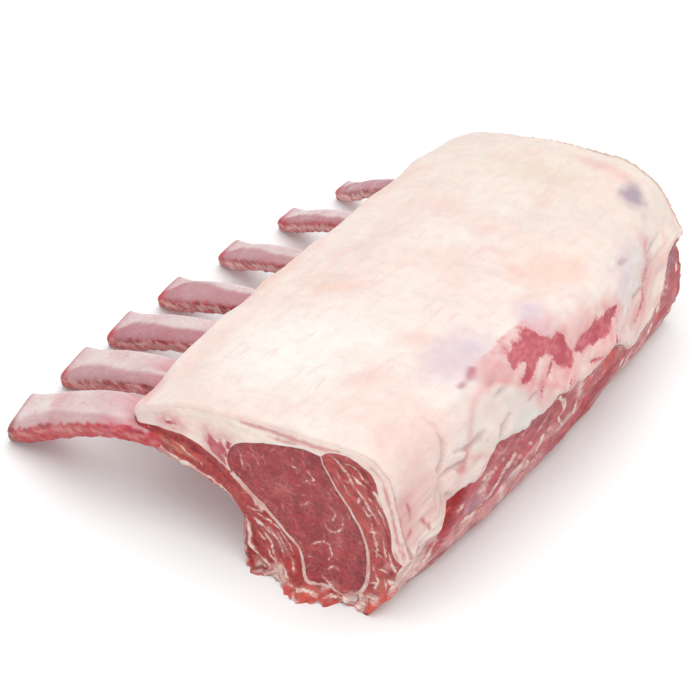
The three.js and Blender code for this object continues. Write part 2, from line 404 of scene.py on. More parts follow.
def fill(loop, step):
    """Triangles that fill an outline, and the points added inside it."""
    low, high = loop.min(0), loop.max(0)
    columns = np.arange(low[0], high[0], step)
    rows = np.arange(low[1], high[1], step * 0.866)
    grid_x, grid_z = np.meshgrid(columns, rows)
    grid_x[1::2] += step / 2
    grid = np.stack([grid_x.ravel(), grid_z.ravel()], 1)
    grid = grid[inside(grid, loop)]
    closed = np.vstack([loop, loop[:1]])
    grid = grid[distance_to(grid, closed)[0] > step * 0.45]
    every = np.vstack([loop, grid])
    edges = [(i, (i + 1) % len(loop)) for i in range(len(loop))]
    found = delaunay_2d_cdt([Vector(p) for p in every], edges, [], 1, 1e-5)
    original = [ids[0] if ids else -1 for ids in found[3]]
    faces = [[original[i] for i in face] for face in found[2]]
    return grid, [face for face in faces if min(face) >= 0]


def wall_faces(rings, count):
    """Four-cornered faces between neighbouring rings of points."""
    here = np.arange(count)
    following = np.roll(here, -1)
    ring = np.column_stack([here, following, following + count, here + count])
    return (ring[None] + count * np.arange(rings - 1)[:, None, None]).reshape(-1, 4).tolist()


class Layer:
    """A layer of the block in straight coordinates, closed at both cuts."""

    def __init__(self, loop, kinds, near_step=NEAR_CUT_STEP, far_step=FAR_CUT_STEP):
        along = stations()
        count, rings = len(loop), len(along)
        walls = np.column_stack([np.tile(loop, (rings, 1)), np.repeat(along, count)])
        outward = across_line(np.vstack([loop[-1:], loop, loop[:1]]))[1:-1]
        if self.area(loop) < 0:
            outward = -outward
        near, near_faces = fill(loop, near_step)
        far, far_faces = fill(loop, far_step)
        near_start, last_ring = len(walls), (rings - 1) * count
        far_start = near_start + len(near)
        self.faces = wall_faces(rings, count)
        self.faces += [[i if i < count else near_start + i - count for i in face] for face in near_faces]
        self.faces += [[last_ring + i if i < count else far_start + i - count for i in face][::-1]
                       for face in far_faces]
        self.straight = np.vstack([
            walls,
            np.column_stack([near, np.zeros(len(near))]),
            np.column_stack([far, np.full(len(far), LENGTH)]),
        ])
        extra = len(near) + len(far)
        self.kinds = np.concatenate([np.tile(kinds, rings), ["cut"] * extra])
        self.outward = np.vstack([np.tile(outward, (rings, 1)), np.zeros((extra, 2))])
        self.section = self.straight[:, :2].copy()
        self.depth = np.minimum(self.straight[:, 2], LENGTH - self.straight[:, 2])
        self.on_cut = self.depth < 1e-6
        self.near_half = self.straight[:, 2] < LENGTH / 2

    @staticmethod
    def area(loop):
        following = np.roll(loop, -1, axis=0)
        return np.sum(loop[:, 0] * following[:, 1] - following[:, 0] * loop[:, 1]) / 2

    @property
    def placed(self):
        return place(self.straight)

    def push(self, amount):
        """Moves the walls outwards in the plane of the section."""
        self.straight[:, :2] += self.outward * np.asarray(amount)[:, None]

    def finish(self, name, colours, fields, look, *nodes):
        points = self.placed + cut_relief(self)
        points[:, 2] = np.maximum(points[:, 2], 0)
        return make_piece(name, points, self.faces, colours, fields, look, *nodes)


def add_object(name, data):
    thing = bpy.data.objects.new(name, data)
    bpy.context.scene.collection.objects.link(thing)
    return thing


def make_piece(name, points, faces, colours, fields, look, *nodes):
    """A mesh that rides on the body and stands for its nodes, with its painting as attributes."""
    mesh = bpy.data.meshes.new(name)
    mesh.from_pydata(((points + BLOCK_ORIGIN) * MM).tolist(), [], faces)
    painted = mesh.attributes.new("tint", "FLOAT_COLOR", "POINT")
    rgba = np.column_stack([np.clip(colours, 0, 1), np.ones(len(colours))])
    painted.data.foreach_set("color", rgba.astype(np.float32).ravel())
    for label, values in fields.items():
        field = mesh.attributes.new(label, "FLOAT", "POINT")
        field.data.foreach_set("value", np.asarray(values, np.float32))
    mesh.polygons.foreach_set("use_smooth", [True] * len(mesh.polygons))
    mesh.set_sharp_from_angle(angle=math.radians(SHARP_ANGLE))
    mesh.materials.append(look.material)
    piece = add_object(name, mesh)
    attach(piece, "root")
    if nodes:
        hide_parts(*nodes)
    return piece


# ---- relief shared by every layer ----
def cut_relief(layer):
    """How the two cut faces stand out or in. It depends on the section alone, so that neighbours
    still meet."""
    spots = np.column_stack([layer.section, np.where(layer.near_half, 0.0, 40.0)])
    low = smooth(11, 2, layer.section[:, 1]) * smooth(-52, -44, layer.section[:, 0])
    swell = lumps(spots, (0.5, 9, 5), (0.28, 3.4, 6), (0.14, 1.5, 7)) - 0.35
    ragged = low * lumps(spots, (2.3, 6, 8), (1.5, 2.8, 9), (0.7, 1.4, 10))
    outwards = np.where(layer.near_half, -1, 1)
    push = np.zeros((len(spots), 3))
    push[:, 1] = outwards * (smooth(3.0, 0, layer.depth) * swell + smooth(6.5, 0, layer.depth) * ragged)
    return push


def torn_outline(layer):
    """Lumps on the base and the wall of the arch, close to a cut."""
    near_cut = smooth(7, 0, layer.depth) * smooth(18, 8, layer.section[:, 1])
    return near_cut * (0.3 + lumps(layer.straight, (1.2, (4.6, 4.6, 5), 11), (0.5, 1.8, 12)))


def edge_rounding(layer, radius):
    """Draws a wall in where it meets a cut."""
    near_edge = np.clip(1 - layer.depth / radius, 0, 1)
    return -radius * 0.55 * near_edge**2


# ---- the hem of the fat ----
# The fat's lower edge on the spine side: its height at places along the block, from the near cut on.
HEM_LINE = (
    (0, 27.5), (5, 29), (12, 31), (15, 33), (16.5, 40), (18, 45.5), (26, 44.5), (33, 42.5), (37, 44),
    (40, 49), (43, 51.5), (50, 51), (60, 47), (74, 47), (78, 49), (86, 47.5), (92, 47), (99, 44.5),
    (104, 44.5), (110, 46.5), (114, 47), (119, 45), (124, 41.5), (130, 35), (134, 33), (146, 34),
    (153, 33.5), (159, 35.5), (163, 41), (167, 47), (171, 52), (179, 50.5), (192, 44),
)
HEM_PULL = (34, 28)  # how far above and below itself the hem draws the layers along


def hem_height(y):
    along, height = np.array(HEM_LINE).T
    spots = np.column_stack([y, np.zeros(len(y)), np.zeros(len(y))])
    waves = lumps(spots, (0.9, 5, 32), (0.6, 2.2, 33))
    return np.interp(y, along, height) + waves * smooth(0, 6, y)


def lift_hem(layer):
    """Moves the fat's lower edge on the spine side, and the meat's upper one, to the hem's line."""
    lift = hem_height(layer.straight[:, 2]) - HEM[1]
    reach = np.where(layer.section[:, 1] > HEM[1], *HEM_PULL)
    near_hem = smooth(reach, 0, np.abs(layer.section[:, 1] - HEM[1]))
    layer.straight[:, 1] += lift * near_hem * smooth(3, 12, layer.section[:, 0])


# ---- painting: the fat ----
CREAM = tint(250, 238, 229)
BRIGHT = tint(253, 246, 238)
PINK = tint(243, 202, 194)
PEACH = tint(249, 212, 196)
BEIGE = tint(236, 219, 202)
LILAC = tint(226, 206, 214)
SILVER = tint(232, 224, 218)
BRUISE = tint(150, 132, 156)
RAW_PINK = tint(226, 146, 146)
MAGENTA = tint(176, 96, 124)
RAW_RED = tint(196, 92, 92)
WARM_CREAM = tint(248, 228, 219)
FLAP_GREY = tint(228, 223, 214)
CREASE_SHADE = tint(206, 168, 166)
BARE_HALO = tint(228, 156, 156)
EDGE_FAT = tint(246, 216, 205)
CUT_FAT = tint(262, 232, 221)
CUT_BRIGHT = tint(265, 250, 238)
CUT_BREAST = tint(252, 220, 216)
CUT_SPINE = tint(264, 226, 217)
CUT_RIM = tint(255, 240, 232)
SEAM_FAT = tint(244, 212, 202)
SEAM_PINK = tint(228, 168, 160)

# Soft areas of colour on the top of the fat: colour, centre and radii in X and Y, turn, strength.
# Strokes, here and below, are a width and then their points.
TOP_AREAS = (
    (BRIGHT, (-52, 36), (30, 26), 0, 0.9), (PINK, (-20, 58), (9, 7), 20, 0.55),
    (PEACH, (-65, 71), (10, 3.4), 20, 0.6), (PINK, (-22, 32), (9, 5), 40, 0.45),
    (LILAC, (-4, 58), (13, 20), 0, 0.9), (LILAC, (5, 90), (12, 8), -30, 0.85),
    (PEACH, (-4, 118), (17, 10), 60, 0.75), (PEACH, (-14, 108), (5, 3), 0, 0.8),
    (BEIGE, (-40, 167), (20, 8), -10, 0.8), (SILVER, (-26, 139), (16, 9), -15, 0.45),
    (PINK, (-24, 182), (16, 5), -10, 0.8), (PINK, (-40, 104), (14, 10), 30, 0.3),
    (PINK, (-45, 130), (22, 9), -10, 0.3), (BRUISE, (-5, 174), (6, 8), 10, 0.75),
    (PINK, (6, 18), (14, 16), 0, 0.5), (PEACH, (-91, 72), (3, 22), 0, 0.8),
    (RAW_PINK, (-90, 2), (5, 14), 0, 0.55), (PINK, (-84, 30), (7, 26), 0, 0.35),
    (SILVER, (-8, 150), (16, 10), 0, 0.4), (PINK, (-70, 120), (10, 30), 0, 0.3),
    (MAGENTA, (3.6, 53.5), (2.4, 4.2), 20, 0.95), (MAGENTA, (4.6, 46.5), (1.6, 3.0), 0, 0.7),
    (RAW_PINK, (6, 58), (5, 9), -20, 0.5),
)
# The same on its spine side, in Y and Z.
SIDE_AREAS = (
    (SILVER, (56, 55), (15, 7), 0, 0.9), (SILVER, (38, 60), (10, 8), 20, 0.6),
    (PINK, (10, 52), (10, 14), 0, 0.8), (RAW_PINK, (4, 44), (5, 12), -10, 0.5),
    (LILAC, (66, 66), (12, 4), 0, 0.6), (RAW_PINK, (60, 65), (6, 4), 0, 0.5),
    (RAW_PINK, (100, 58), (12, 5), 10, 0.45), (PINK, (84, 54), (22, 9), 0, 0.6),
    (SILVER, (148, 54), (22, 9), 0, 0.8), (LILAC, (140, 58), (14, 4), 20, 0.5),
    (PINK, (128, 46), (12, 5), 0, 0.6), (BRUISE, (172, 63), (5, 3.4), 0, 0.7),
    (SILVER, (30, 50), (14, 8), 20, 0.7), (PINK, (112, 48), (14, 4), 10, 0.6),
)
# Where lean shows through the fat on the spine side, as outlines in Y and Z.
BARE_PATCHES = (
    ((66.2, 64.2), (68.7, 65.2), (74.9, 66), (78.3, 65.2), (84.2, 65.8), (86.4, 63.6), (89.9, 61.6),
     (94, 61.2), (94.4, 58), (93.9, 53.4), (92, 52.6), (86.8, 53.8), (86, 56), (86.2, 59),
     (83.4, 60), (78.7, 60.4), (73.6, 58.6), (68, 57.8), (66.8, 59.8), (70, 60.9), (74.2, 62.2),
     (70.8, 62.9), (66.6, 62.8)),
    ((127.2, 53), (123.9, 52.4), (118.9, 52.4), (112.4, 51.4), (106, 52), (100.1, 53), (96, 53.4),
     (95.4, 55), (99.6, 56), (108, 56), (115.4, 56), (121.7, 55.2)),
)
# A smooth grey-white flap over the hem.
SILVER_FLAP = ((35, 53), (40, 60), (49, 63), (58, 62), (66, 58), (74, 53), (80, 50), (72, 47), (60, 47),
               (50, 50), (44, 51))
# Thin slits and threads of lean there.
BARE_THREADS = (
    (1.6, (118.5, 49), (115.5, 46.8), (112, 45)), (0.9, (106.6, 47.5), (99.4, 48.8)),
    (0.8, (85, 57.6), (82.4, 56.4), (77, 55.4)), (0.7, (76, 55), (72, 51.5)), (0.8, (88, 51), (83, 48)),
    (0.9, (136, 41), (146, 44), (154, 50)), (0.7, (62, 68.5), (66, 68)),
    (0.7, (150, 45), (157, 51), (160, 56)),
)
# Creases in the skin there, and reddish streaks by the near corner.
CREASES = (
    (1.3, (22, 70), (25.8, 68.2), (27, 66), (26.4, 62), (24.4, 58), (20, 55), (17.6, 49)),
    (1.1, (19, 52.8), (23.4, 53.6), (30.5, 52.6)), (1.2, (29, 56.8), (35.5, 55), (42, 57.3)),
    (1.3, (44.9, 54.5), (47.2, 55.3), (55, 55.7)), (0.9, (18.3, 49.1), (22, 46)),
    (1, (52.5, 61.4), (58, 61.6)), (1, (66.4, 54), (70.3, 53.7)), (1.1, (139.4, 60.4), (145, 59.2)),
    (1.2, (139, 48.4), (148, 46.9)), (1, (159, 53.2), (166, 53.6), (173, 53.8)),
    (1, (54, 64.1), (59, 64.5)),
)
CORNER_STREAKS = (
    (1.1, (1, 59), (1.6, 52)), (1.2, (1.5, 49), (2.2, 41)), (1.2, (2, 37), (4, 29)),
    (0.9, (2.5, 38), (5.6, 41.5)), (0.9, (5, 31), (8, 36)), (1.1, (8.4, 33), (13, 34.4)),
    (0.8, (6, 52), (7, 45)), (0.8, (10, 44), (12, 38)),
)
# Lean in the fat of the near cut: small muscles beside the eye, and a slit.
CUT_MUSCLES = (
    (4.2, (-58.4, 49.6), (-56.4, 46.9), (-54.4, 43.6), (-52.2, 40.6)),
    (2.9, (-54.2, 49.2), (-52.8, 46.6), (-51.4, 43.4)), (2.4, (-51.4, 50.6), (-50.4, 47.4)),
    (1.4, (-75.6, 47.3), (-73, 48.3), (-70.2, 48.5)),
)
# Reddish lines there: along the top edge, and in the band beside the cap muscle.
CUT_BLUSH = (
    (1.5, (-46, 60.3), (-38.8, 61.4), (-27.2, 62.7), (-16, 64.3), (-9, 66)),
    (0.8, (-36, 59.4), (-30, 60), (-24, 61.6)), (1.2, (6, 61), (9.2, 54), (11.2, 46)),
    (1.3, (9.6, 50), (11.8, 43), (12.6, 37)), (0.9, (12.8, 44), (13.8, 38), (14.2, 33)),
    (0.9, (2, 64.6), (5.4, 61.4)), (1.2, (10.8, 36), (12.2, 32)),
)


def lay_skin(paint, placed):
    """The soft colours all over the skin of the fat."""
    x, y, z = placed.T
    paint.lay(WARM_CREAM, 0.5 + fractal(placed, (22, 30, 22), 51))
    paint.lay(BEIGE, 0.35 * smooth(90, 180, y))
    mottle = smooth(0.1, 0.75, fractal(placed, (15, 19, 15), 52) + 0.3 * noise(placed, 3, 53))
    paint.lay(PINK, 0.4 * mottle * smooth(20, 60, np.hypot(x + 52, y - 30)))
    ragged = 0.34 * fractal(placed, (9, 13, 9), 41) + 0.14 * noise(placed, 2.4, 42)
    paint.lay_areas(placed[:, :2], TOP_AREAS, ragged, z > 40)


def lay_skin_side(paint, placed, spine):
    """The fat's spine side: areas of colour, threads, the silver flap and a torn place."""
    side, z = placed[:, 1:], placed[:, 2]
    streaky = lumps(turned(placed, 12), (0.4, (4, 15, 3), 43), (0.2, (2, 9, 1.3), 44))
    paint.lay_areas(side, SIDE_AREAS, streaky * 0.9, spine)
    fibres = ridges(turned(placed, 14), (5, 24, 2.6), 54) * smooth(60, 48, z) * spine
    paint.lay(RAW_PINK, 0.45 * fibres)
    threads = ridges(turned(placed, -38), (4, 16, 3), 56) * spine * smooth(40, 60, z)
    paint.lay(LILAC, 0.22 * threads)
    flap = patch(side, SILVER_FLAP) + 0.8 * noise(placed, 4, 59)
    paint.lay(FLAP_GREY, 0.9 * smooth(-1.5, 1.5, flap) * spine)
    paint.lay(RAW_PINK, 0.5 * hump(flap, -1.5, 1.1) * spine)
    torn = ridges(turned(placed, 40), (4, 12, 3.4), 60) * oval(side, (30, 49), (18, 9), 25) * spine
    paint.lay(RAW_RED, 0.8 * smooth(0.3, 0.9, torn))


def lay_skin_lines(paint, placed, spine):
    """Fine lines all over the skin, streaks by the near corner, and the shade in the creases."""
    lines = ridges(placed, (9, 21, 9), 57) * smooth(0.15, 0.5, noise(placed, 30, 58))
    paint.lay(PINK, 0.4 * lines)
    scored = ridges(placed, (13, 5, 13), 99) * smooth(0.2, 0.6, noise(placed, 26, 100))
    paint.lay(LILAC, 0.3 * scored)
    streaks = strokes(placed[:, 1:], CORNER_STREAKS, 0.7) + 0.5 * noise(placed, 2, 140)
    paint.lay(RAW_RED, 0.8 * smooth(-0.5, 0.4, streaks) * spine)
    paint.lay(CREASE_SHADE, 0.55 * smooth(-0.5, 0.5, crease_field(placed)) * spine)


def crease_field(placed):
    return strokes(placed[:, 1:], CREASES, 0.6) + 0.3 * noise(placed, 1.8, 141)


def fat_cut_colours(layer, near):
    """The fat on the cuts: flatter and pinker than the skin, with reddish lines."""
    section, spots = layer.section[near], layer.straight[near]
    x, z = section.T
    paint = Paint(CUT_FAT, len(section))
    layered = np.column_stack([x, z * 5, spots[:, 2]])
    paint.lay(CUT_BRIGHT, 0.4 + 0.6 * noise(layered, (22, 9, 9), 61))
    paint.lay(CUT_BREAST, smooth(-66, -84, x) * 0.8)
    paint.lay(CUT_SPINE, 0.9 * smooth(2, 12, x))
    blush = strokes(section, CUT_BLUSH, 0.6)
    paint.lay(RAW_PINK, 0.75 * smooth(-0.7, 0.5, blush + 0.3 * noise(spots, 1.6, 62)))
    rim = strokes(section, ((1.6, *SEAMS["eye_fat"]), (1.4, *SEAMS["fat_cap"])), 0.5)
    paint.lay(CUT_RIM, 0.6 * smooth(-0.5, 0.4, rim))
    return paint.colours


def bare_field(layer, placed):
    """Where lean shows in the fat: how far inside such a place each point is."""
    x, side = placed[:, 0], placed[:, 1:]
    ragged = 0.3 + lumps(turned(placed, 28), (0.8, (5, 7, 1.5), 45), (0.4, (2, 3, 0.8), 46))
    bare = np.full(len(x), FAR_OUTSIDE)
    for keys in BARE_PATCHES:
        bare = np.maximum(bare, patch(side, keys) + ragged)
    bare = np.maximum(bare, strokes(side, BARE_THREADS) + 0.35 * ragged)
    bare = np.where((x > 2) & (layer.kinds == "fat"), bare, FAR_OUTSIDE)
    near_cut = layer.on_cut & layer.near_half
    bare[near_cut] = strokes(layer.section[near_cut], CUT_MUSCLES)
    return bare


def fat_relief(layer, placed):
    """The swell, fibres, folds and creases of the skin, and the raised rim along the hem."""
    x, y, z = placed.T
    spine = smooth(4, 12, x)
    swell = lumps(placed, (0.8, (30, 38, 30), 63), (0.5, (12, 17, 12), 64))
    fibres = lumps(placed, (0.14, (2.4, 5.5, 2.4), 65), (0.1, (5, 2.2, 5), 66))
    folds = 0.6 * noise(turned(placed, 14), (6, 22, 3.4), 67) * smooth(62, 50, z) * spine
    creases = -0.5 * ridges(turned(placed, 16), (8, 26, 5), 68) * smooth(64, 52, z) * spine
    creases = creases - 1.1 * smooth(-1.0, 0.6, crease_field(placed)) * spine
    over_hem = z - hem_height(layer.straight[:, 2])
    rim = 0.8 * hump(over_hem, 1.2, 2.2) * spine * smooth(10, 18, y)
    dents = -0.35 * smooth(0.62, 0.9, noise(placed, (5, 7, 5), 69))
    return swell + fibres + folds + creases + rim + dents + edge_rounding(layer, 2.4)


def lift_over_bones(placed):
    """The breast-side edge of the fat rises a little where a bone comes out under it."""
    x, y = placed[:, 0], placed[:, 1]
    bump = sum(hump(y, joint, 7.5) for joint in JOINT_Y)
    return 1.6 * bump * smooth(-82, -92, x)


def thin_corner(placed):
    """The fat tapers towards its near corner on the breast side."""
    x, y, z = placed.T
    return 3.4 * smooth(-70, -89, x) * smooth(34, 4, y) * smooth(42.5, 47, z)


def build_fat(look):
    """The fat cap, with its bare places."""
    layer = Layer(*OUTLINES["fat_cap"])
    lift_hem(layer)
    placed = layer.placed
    spine = smooth(-2, 8, placed[:, 0])
    paint = Paint(CREAM, len(placed))
    lay_skin(paint, placed)
    lay_skin_side(paint, placed, spine)
    lay_skin_lines(paint, placed, spine)
    paint.colours[layer.on_cut] = fat_cut_colours(layer, layer.on_cut)
    paint.lay(EDGE_FAT, 0.5 * smooth(2.4, 0, layer.depth) * ~layer.on_cut)
    bare = bare_field(layer, placed)
    halo = smooth(-5.5, 0.2, bare) * (0.6 + 0.45 * noise(turned(placed, 28), (2, 6, 1.4), 47))
    paint.lay(BARE_HALO, halo)
    outside = layer.kinds == "fat"
    relief = fat_relief(layer, placed) - 0.6 * smooth(-0.6, 1.0, bare)
    layer.straight[:, 1] += (lift_over_bones(placed) - thin_corner(placed)) * outside
    layer.push(relief * outside)
    return layer.finish("fat", paint.colours, {"bare": bare}, look, "fat_cap")


# ---- painting: the lean ----
# Each muscle's own colour, its light one and its dark one.
DARK_RED = tint(150, 24, 34)
EYE_TONES = (tint(178, 66, 70), tint(200, 98, 98), tint(152, 40, 50))
CAP_TONES = (tint(196, 78, 76), tint(196, 100, 94), tint(140, 42, 46))
RIBMEAT_TONES = (tint(184, 54, 54), tint(190, 96, 92), DARK_RED)
ORANGE_RED = tint(200, 76, 60)
TAN = tint(206, 136, 112)
MAUVE_LEAN = tint(176, 96, 104)
SALMON_LEAN = tint(214, 110, 96)
MEMBRANE = tint(232, 176, 168)
TORN_PALE = tint(250, 222, 212)
TORN_PINK = tint(238, 164, 152)
TORN_RED = tint(232, 96, 78)
TORN_ROSE = tint(216, 84, 84)
CRIMSON = tint(188, 36, 44)
SPINE_LEAN = tint(200, 84, 92)
SPINE_PALE = tint(226, 158, 156)
SPINE_DARK = tint(180, 54, 62)
SPINE_SHEET = tint(246, 208, 200)
SPINE_FRONT = tint(250, 214, 206)
SPINE_LOW = tint(200, 90, 88)
SPINE_CORNER = tint(230, 110, 90)
SLOT_RED = tint(184, 0, 20)
SLOT_WET = tint(246, 84, 48)
SLIT_RED = tint(178, 24, 34)

# Lines of fat on the cuts, in X and Z.
EYE_MARBLING = (
    (0.6, (-22.4, 46.4), (-18.6, 49.6), (-20.6, 52.2)), (0.5, (-20.6, 46.8), (-18.2, 47.6)),
    (0.6, (-23.6, 35.8), (-20.9, 39.1), (-18.6, 38)),
    (0.5, (-15.1, 33.2), (-13.4, 30.9), (-10.5, 31.1), (-7.6, 34.4), (-8, 40.4)),
    (0.4, (-13.4, 41), (-10.4, 40.4), (-10.8, 36), (-13, 34.2)),
    (0.7, (-18.4, 21.4), (-15.6, 24.8), (-12.6, 24.2), (-11, 21.4), (-12.8, 17.8)),
    (0.6, (-20.8, 15.2), (-18.2, 16)), (0.6, (-13, 13), (-10.6, 15.9), (-8.6, 15.2)),
    (0.7, (-14.2, 9.3), (-11.3, 7.2), (-8.2, 6.9)), (0.5, (-27.2, 51.6), (-24.2, 51.5), (-24.4, 49.4)),
    (0.4, (-41.6, 49.3), (-39.4, 46.2)), (0.5, (-46.2, 46.6), (-44.8, 41.6)),
)
CAP_MARBLING = (
    (1.1, (-13.6, 63), (-9.4, 61.4), (-6, 58.9), (-2.2, 52.6), (1.8, 46.6), (5.2, 42.4)),
    (0.6, (-10.2, 57.6), (-7.4, 53.2), (-4.6, 48.6)), (0.5, (-6.6, 55.6), (-3, 55.2)),
    (0.7, (-0.8, 45.6), (1.6, 43.4), (3.4, 46)), (1.6, (2.8, 55), (5.6, 53.6), (6.6, 50.2)),
    (0.9, (4.2, 50), (6.4, 46.4), (7.2, 42.6)), (0.6, (2.6, 41), (4.6, 33.8), (4.4, 27.4)),
    (0.7, (6.4, 38), (7.6, 31), (7.2, 25)), (0.8, (9.2, 34), (9.6, 27)),
    (0.8, (3.8, 24), (5.2, 17), (3.8, 11)), (1.2, (-0.8, 5.2), (2.2, 7.8), (4.8, 7.2)),
    (1.4, (9.8, 30), (11.6, 26.2)), (1, (7.6, 20), (8.4, 14.6)), (1.3, (-2.6, 2.6), (1.4, 3.6)),
    (0.7, (-7.6, 62.6), (-3.2, 61.6), (0.6, 58)), (0.8, (-4.2, 58.6), (-0.2, 55.4)),
    (0.7, (-1.8, 49.8), (-2.6, 46.6)), (0.8, (1.6, 52), (3.6, 49.6)), (0.7, (2.2, 37.4), (5.8, 38.8)),
    (0.7, (3.4, 30.6), (6, 28)), (0.9, (5.6, 22.6), (8.6, 24.2)), (0.8, (2.6, 15), (5.8, 16.4)),
)
RIBMEAT_MARBLING = (
    (2.1, (-59.6, 45), (-57.4, 43.4), (-53.4, 40.6), (-48.8, 37.4), (-43.6, 34), (-41.4, 30.6)),
    (1.5, (-42.4, 31.8), (-38.6, 28.8), (-36.4, 27.6)),
    (1.9, (-43.8, 22), (-42.4, 16), (-41.8, 10.6), (-38.8, 6.8), (-34.2, 4.8)),
    (0.7, (-40.6, 25.6), (-36.4, 24.2), (-30.6, 21.6)), (0.6, (-38.6, 22.6), (-33.6, 18.2)),
    (0.9, (-37.2, 19.4), (-33.2, 13.2), (-31.8, 8.8)), (0.6, (-31.8, 19.8), (-27.8, 13.2)),
    (1.5, (-86, 38.8), (-78.4, 36.7), (-70.8, 35.4), (-64, 33.4), (-56.8, 31.9), (-50.2, 28.6),
     (-46.6, 24.8)),
    (1.3, (-86.4, 40.6), (-82.8, 38.6)), (0.5, (-72.4, 41.2), (-66, 38.4), (-60.8, 36)),
    (0.8, (-42.6, 26.6), (-37.6, 27)), (0.7, (-40.8, 22.8), (-37.2, 21)),
    (0.8, (-39.2, 17), (-36.6, 15.2)), (0.6, (-36.2, 22.2), (-30.4, 15.6), (-29, 11)),
    (0.6, (-34.6, 24.4), (-29, 19.6), (-25.4, 13.6)), (0.8, (-35, 12.8), (-31, 6)),
    (1, (-30.2, 9.6), (-25.8, 6.2), (-21.8, 4.6)), (0.8, (-26.8, 13), (-23.4, 8.4)),
    (1.2, (-26, 3.6), (-20, 4.2), (-14.2, 3.2)), (1.1, (-34.6, 1.6), (-30.6, 3.4), (-26.6, 2.6)),
    (1.4, (-12, 2.6), (-7.2, 2.8)),
)
# Other colours on the cuts: colour, strength, and the stroke.
RIBMEAT_STREAKS = (
    (ORANGE_RED, 0.8, 2.6, (-84, 40.8), (-76, 40.2), (-67, 39.4), (-60, 37)),
    (TAN, 0.9, 1, (-82.4, 40.6), (-75.2, 39.6), (-68.4, 38.4), (-62.4, 36.6)),
    (DARK_RED, 0.9, 1.6, (-84.2, 43), (-74.4, 42.9), (-66.6, 42.6), (-60.8, 40.2), (-54.6, 37),
     (-46.6, 32.6)),
    (DARK_RED, 0.8, 1.3, (-62, 34.8), (-54, 32.6), (-47.4, 28)),
    (MEMBRANE, 0.9, 1.4, (-84, 36.4), (-74, 34.6), (-62, 31.9), (-52, 27.6), (-46, 22)),
    (DARK_RED, 0.95, 2, (-42.4, 19.2), (-40.6, 14.8), (-38.6, 10.6)),
    (DARK_RED, 0.95, 1.5, (-41.6, 1.8), (-37.6, 2.2), (-33.6, 3)),
    (ORANGE_RED, 0.95, 3.2, (-24.6, 3.4), (-19.6, 2.2), (-13, 1.8)),
    (MAUVE_LEAN, 0.5, 5, (-38, 21), (-32, 17), (-27.4, 12)),
    (MEMBRANE, 0.8, 2.4, (-44.2, 20), (-44.2, 10), (-43.2, 3)),
)
CAP_STREAKS = (
    (DARK_RED, 0.7, 2, (-12.6, 61.8), (-6.4, 62.6), (-1.2, 61.4), (3.2, 56.8)),
    (DARK_RED, 0.6, 1.3, (-9.4, 58.8), (-6.2, 55.4), (-3.4, 50.6), (0.4, 45.6)),
    (DARK_RED, 0.8, 1.6, (5.4, 46), (8.4, 40), (9, 34)),
    (DARK_RED, 0.8, 1.5, (-1, 58.4), (2.4, 54.4), (3, 51)), (DARK_RED, 0.7, 1.5, (1.8, 45), (4.4, 40)),
    (DARK_RED, 0.8, 1.3, (-6.4, 60.4), (-3.4, 57.4)), (DARK_RED, 0.6, 1.4, (5.2, 33), (6, 26)),
    (ORANGE_RED, 0.85, 3.4, (-2.6, 2.2), (2, 4.8), (4.6, 9.4)),
    (SALMON_LEAN, 0.7, 3, (4.8, 10), (6.6, 15), (8.4, 20)),
    (MEMBRANE, 0.5, 2.2, (6.8, 24), (9.6, 28), (12, 30)),
)
# A dark slit along the wall of the arch, on the cuts.
WALL_SLIT = (1.5, (-43.4, 20), (-43.2, 12), (-42.6, 4), (-40, 1.6), (-36, 2.2), (-33, 4))
# White veins on the bare spine side, in Y and Z.
SPINE_VEINS = (
    (2.3, (35, 16), (38, 18.6), (43.5, 18), (50, 20), (53, 21.5), (55, 24.5), (62.7, 30.3),
     (64.8, 33.5)),
    (3.2, (26, 17.6), (23, 18.6), (19.8, 14.4), (14.6, 12.4), (8, 11.6)), (3.7, (46.5, 30), (49, 33.2)),
    (2.9, (66.1, 31.8), (64.7, 30.2), (61.5, 28.4), (58.6, 27.6)),
    (2.2, (78.4, 17.3), (80.2, 21.6), (82.4, 25.8), (86.7, 26.6)), (2.9, (84, 26.2), (86.4, 26.8)),
    (2.2, (95.5, 19.4), (92, 26), (94.5, 29.1), (93.5, 34), (86.5, 40.4)),
    (2.2, (103.6, 26.4), (103.1, 22.1), (103.7, 17.5)), (3.4, (72, 17), (76, 19)),
    (1.9, (75, 28), (71.5, 31)), (2.6, (178.4, 35), (172.6, 32.6), (169.7, 28.8), (165, 24)),
    (2.8, (184, 30), (187, 31.4)), (3.6, (139, 16), (143, 19)), (2.2, (165, 19), (161, 16)),
    (2.3, (121.2, 26.3), (118, 22)), (2.5, (125, 39.4), (122, 41)), (2.3, (34, 25), (36, 29)),
)
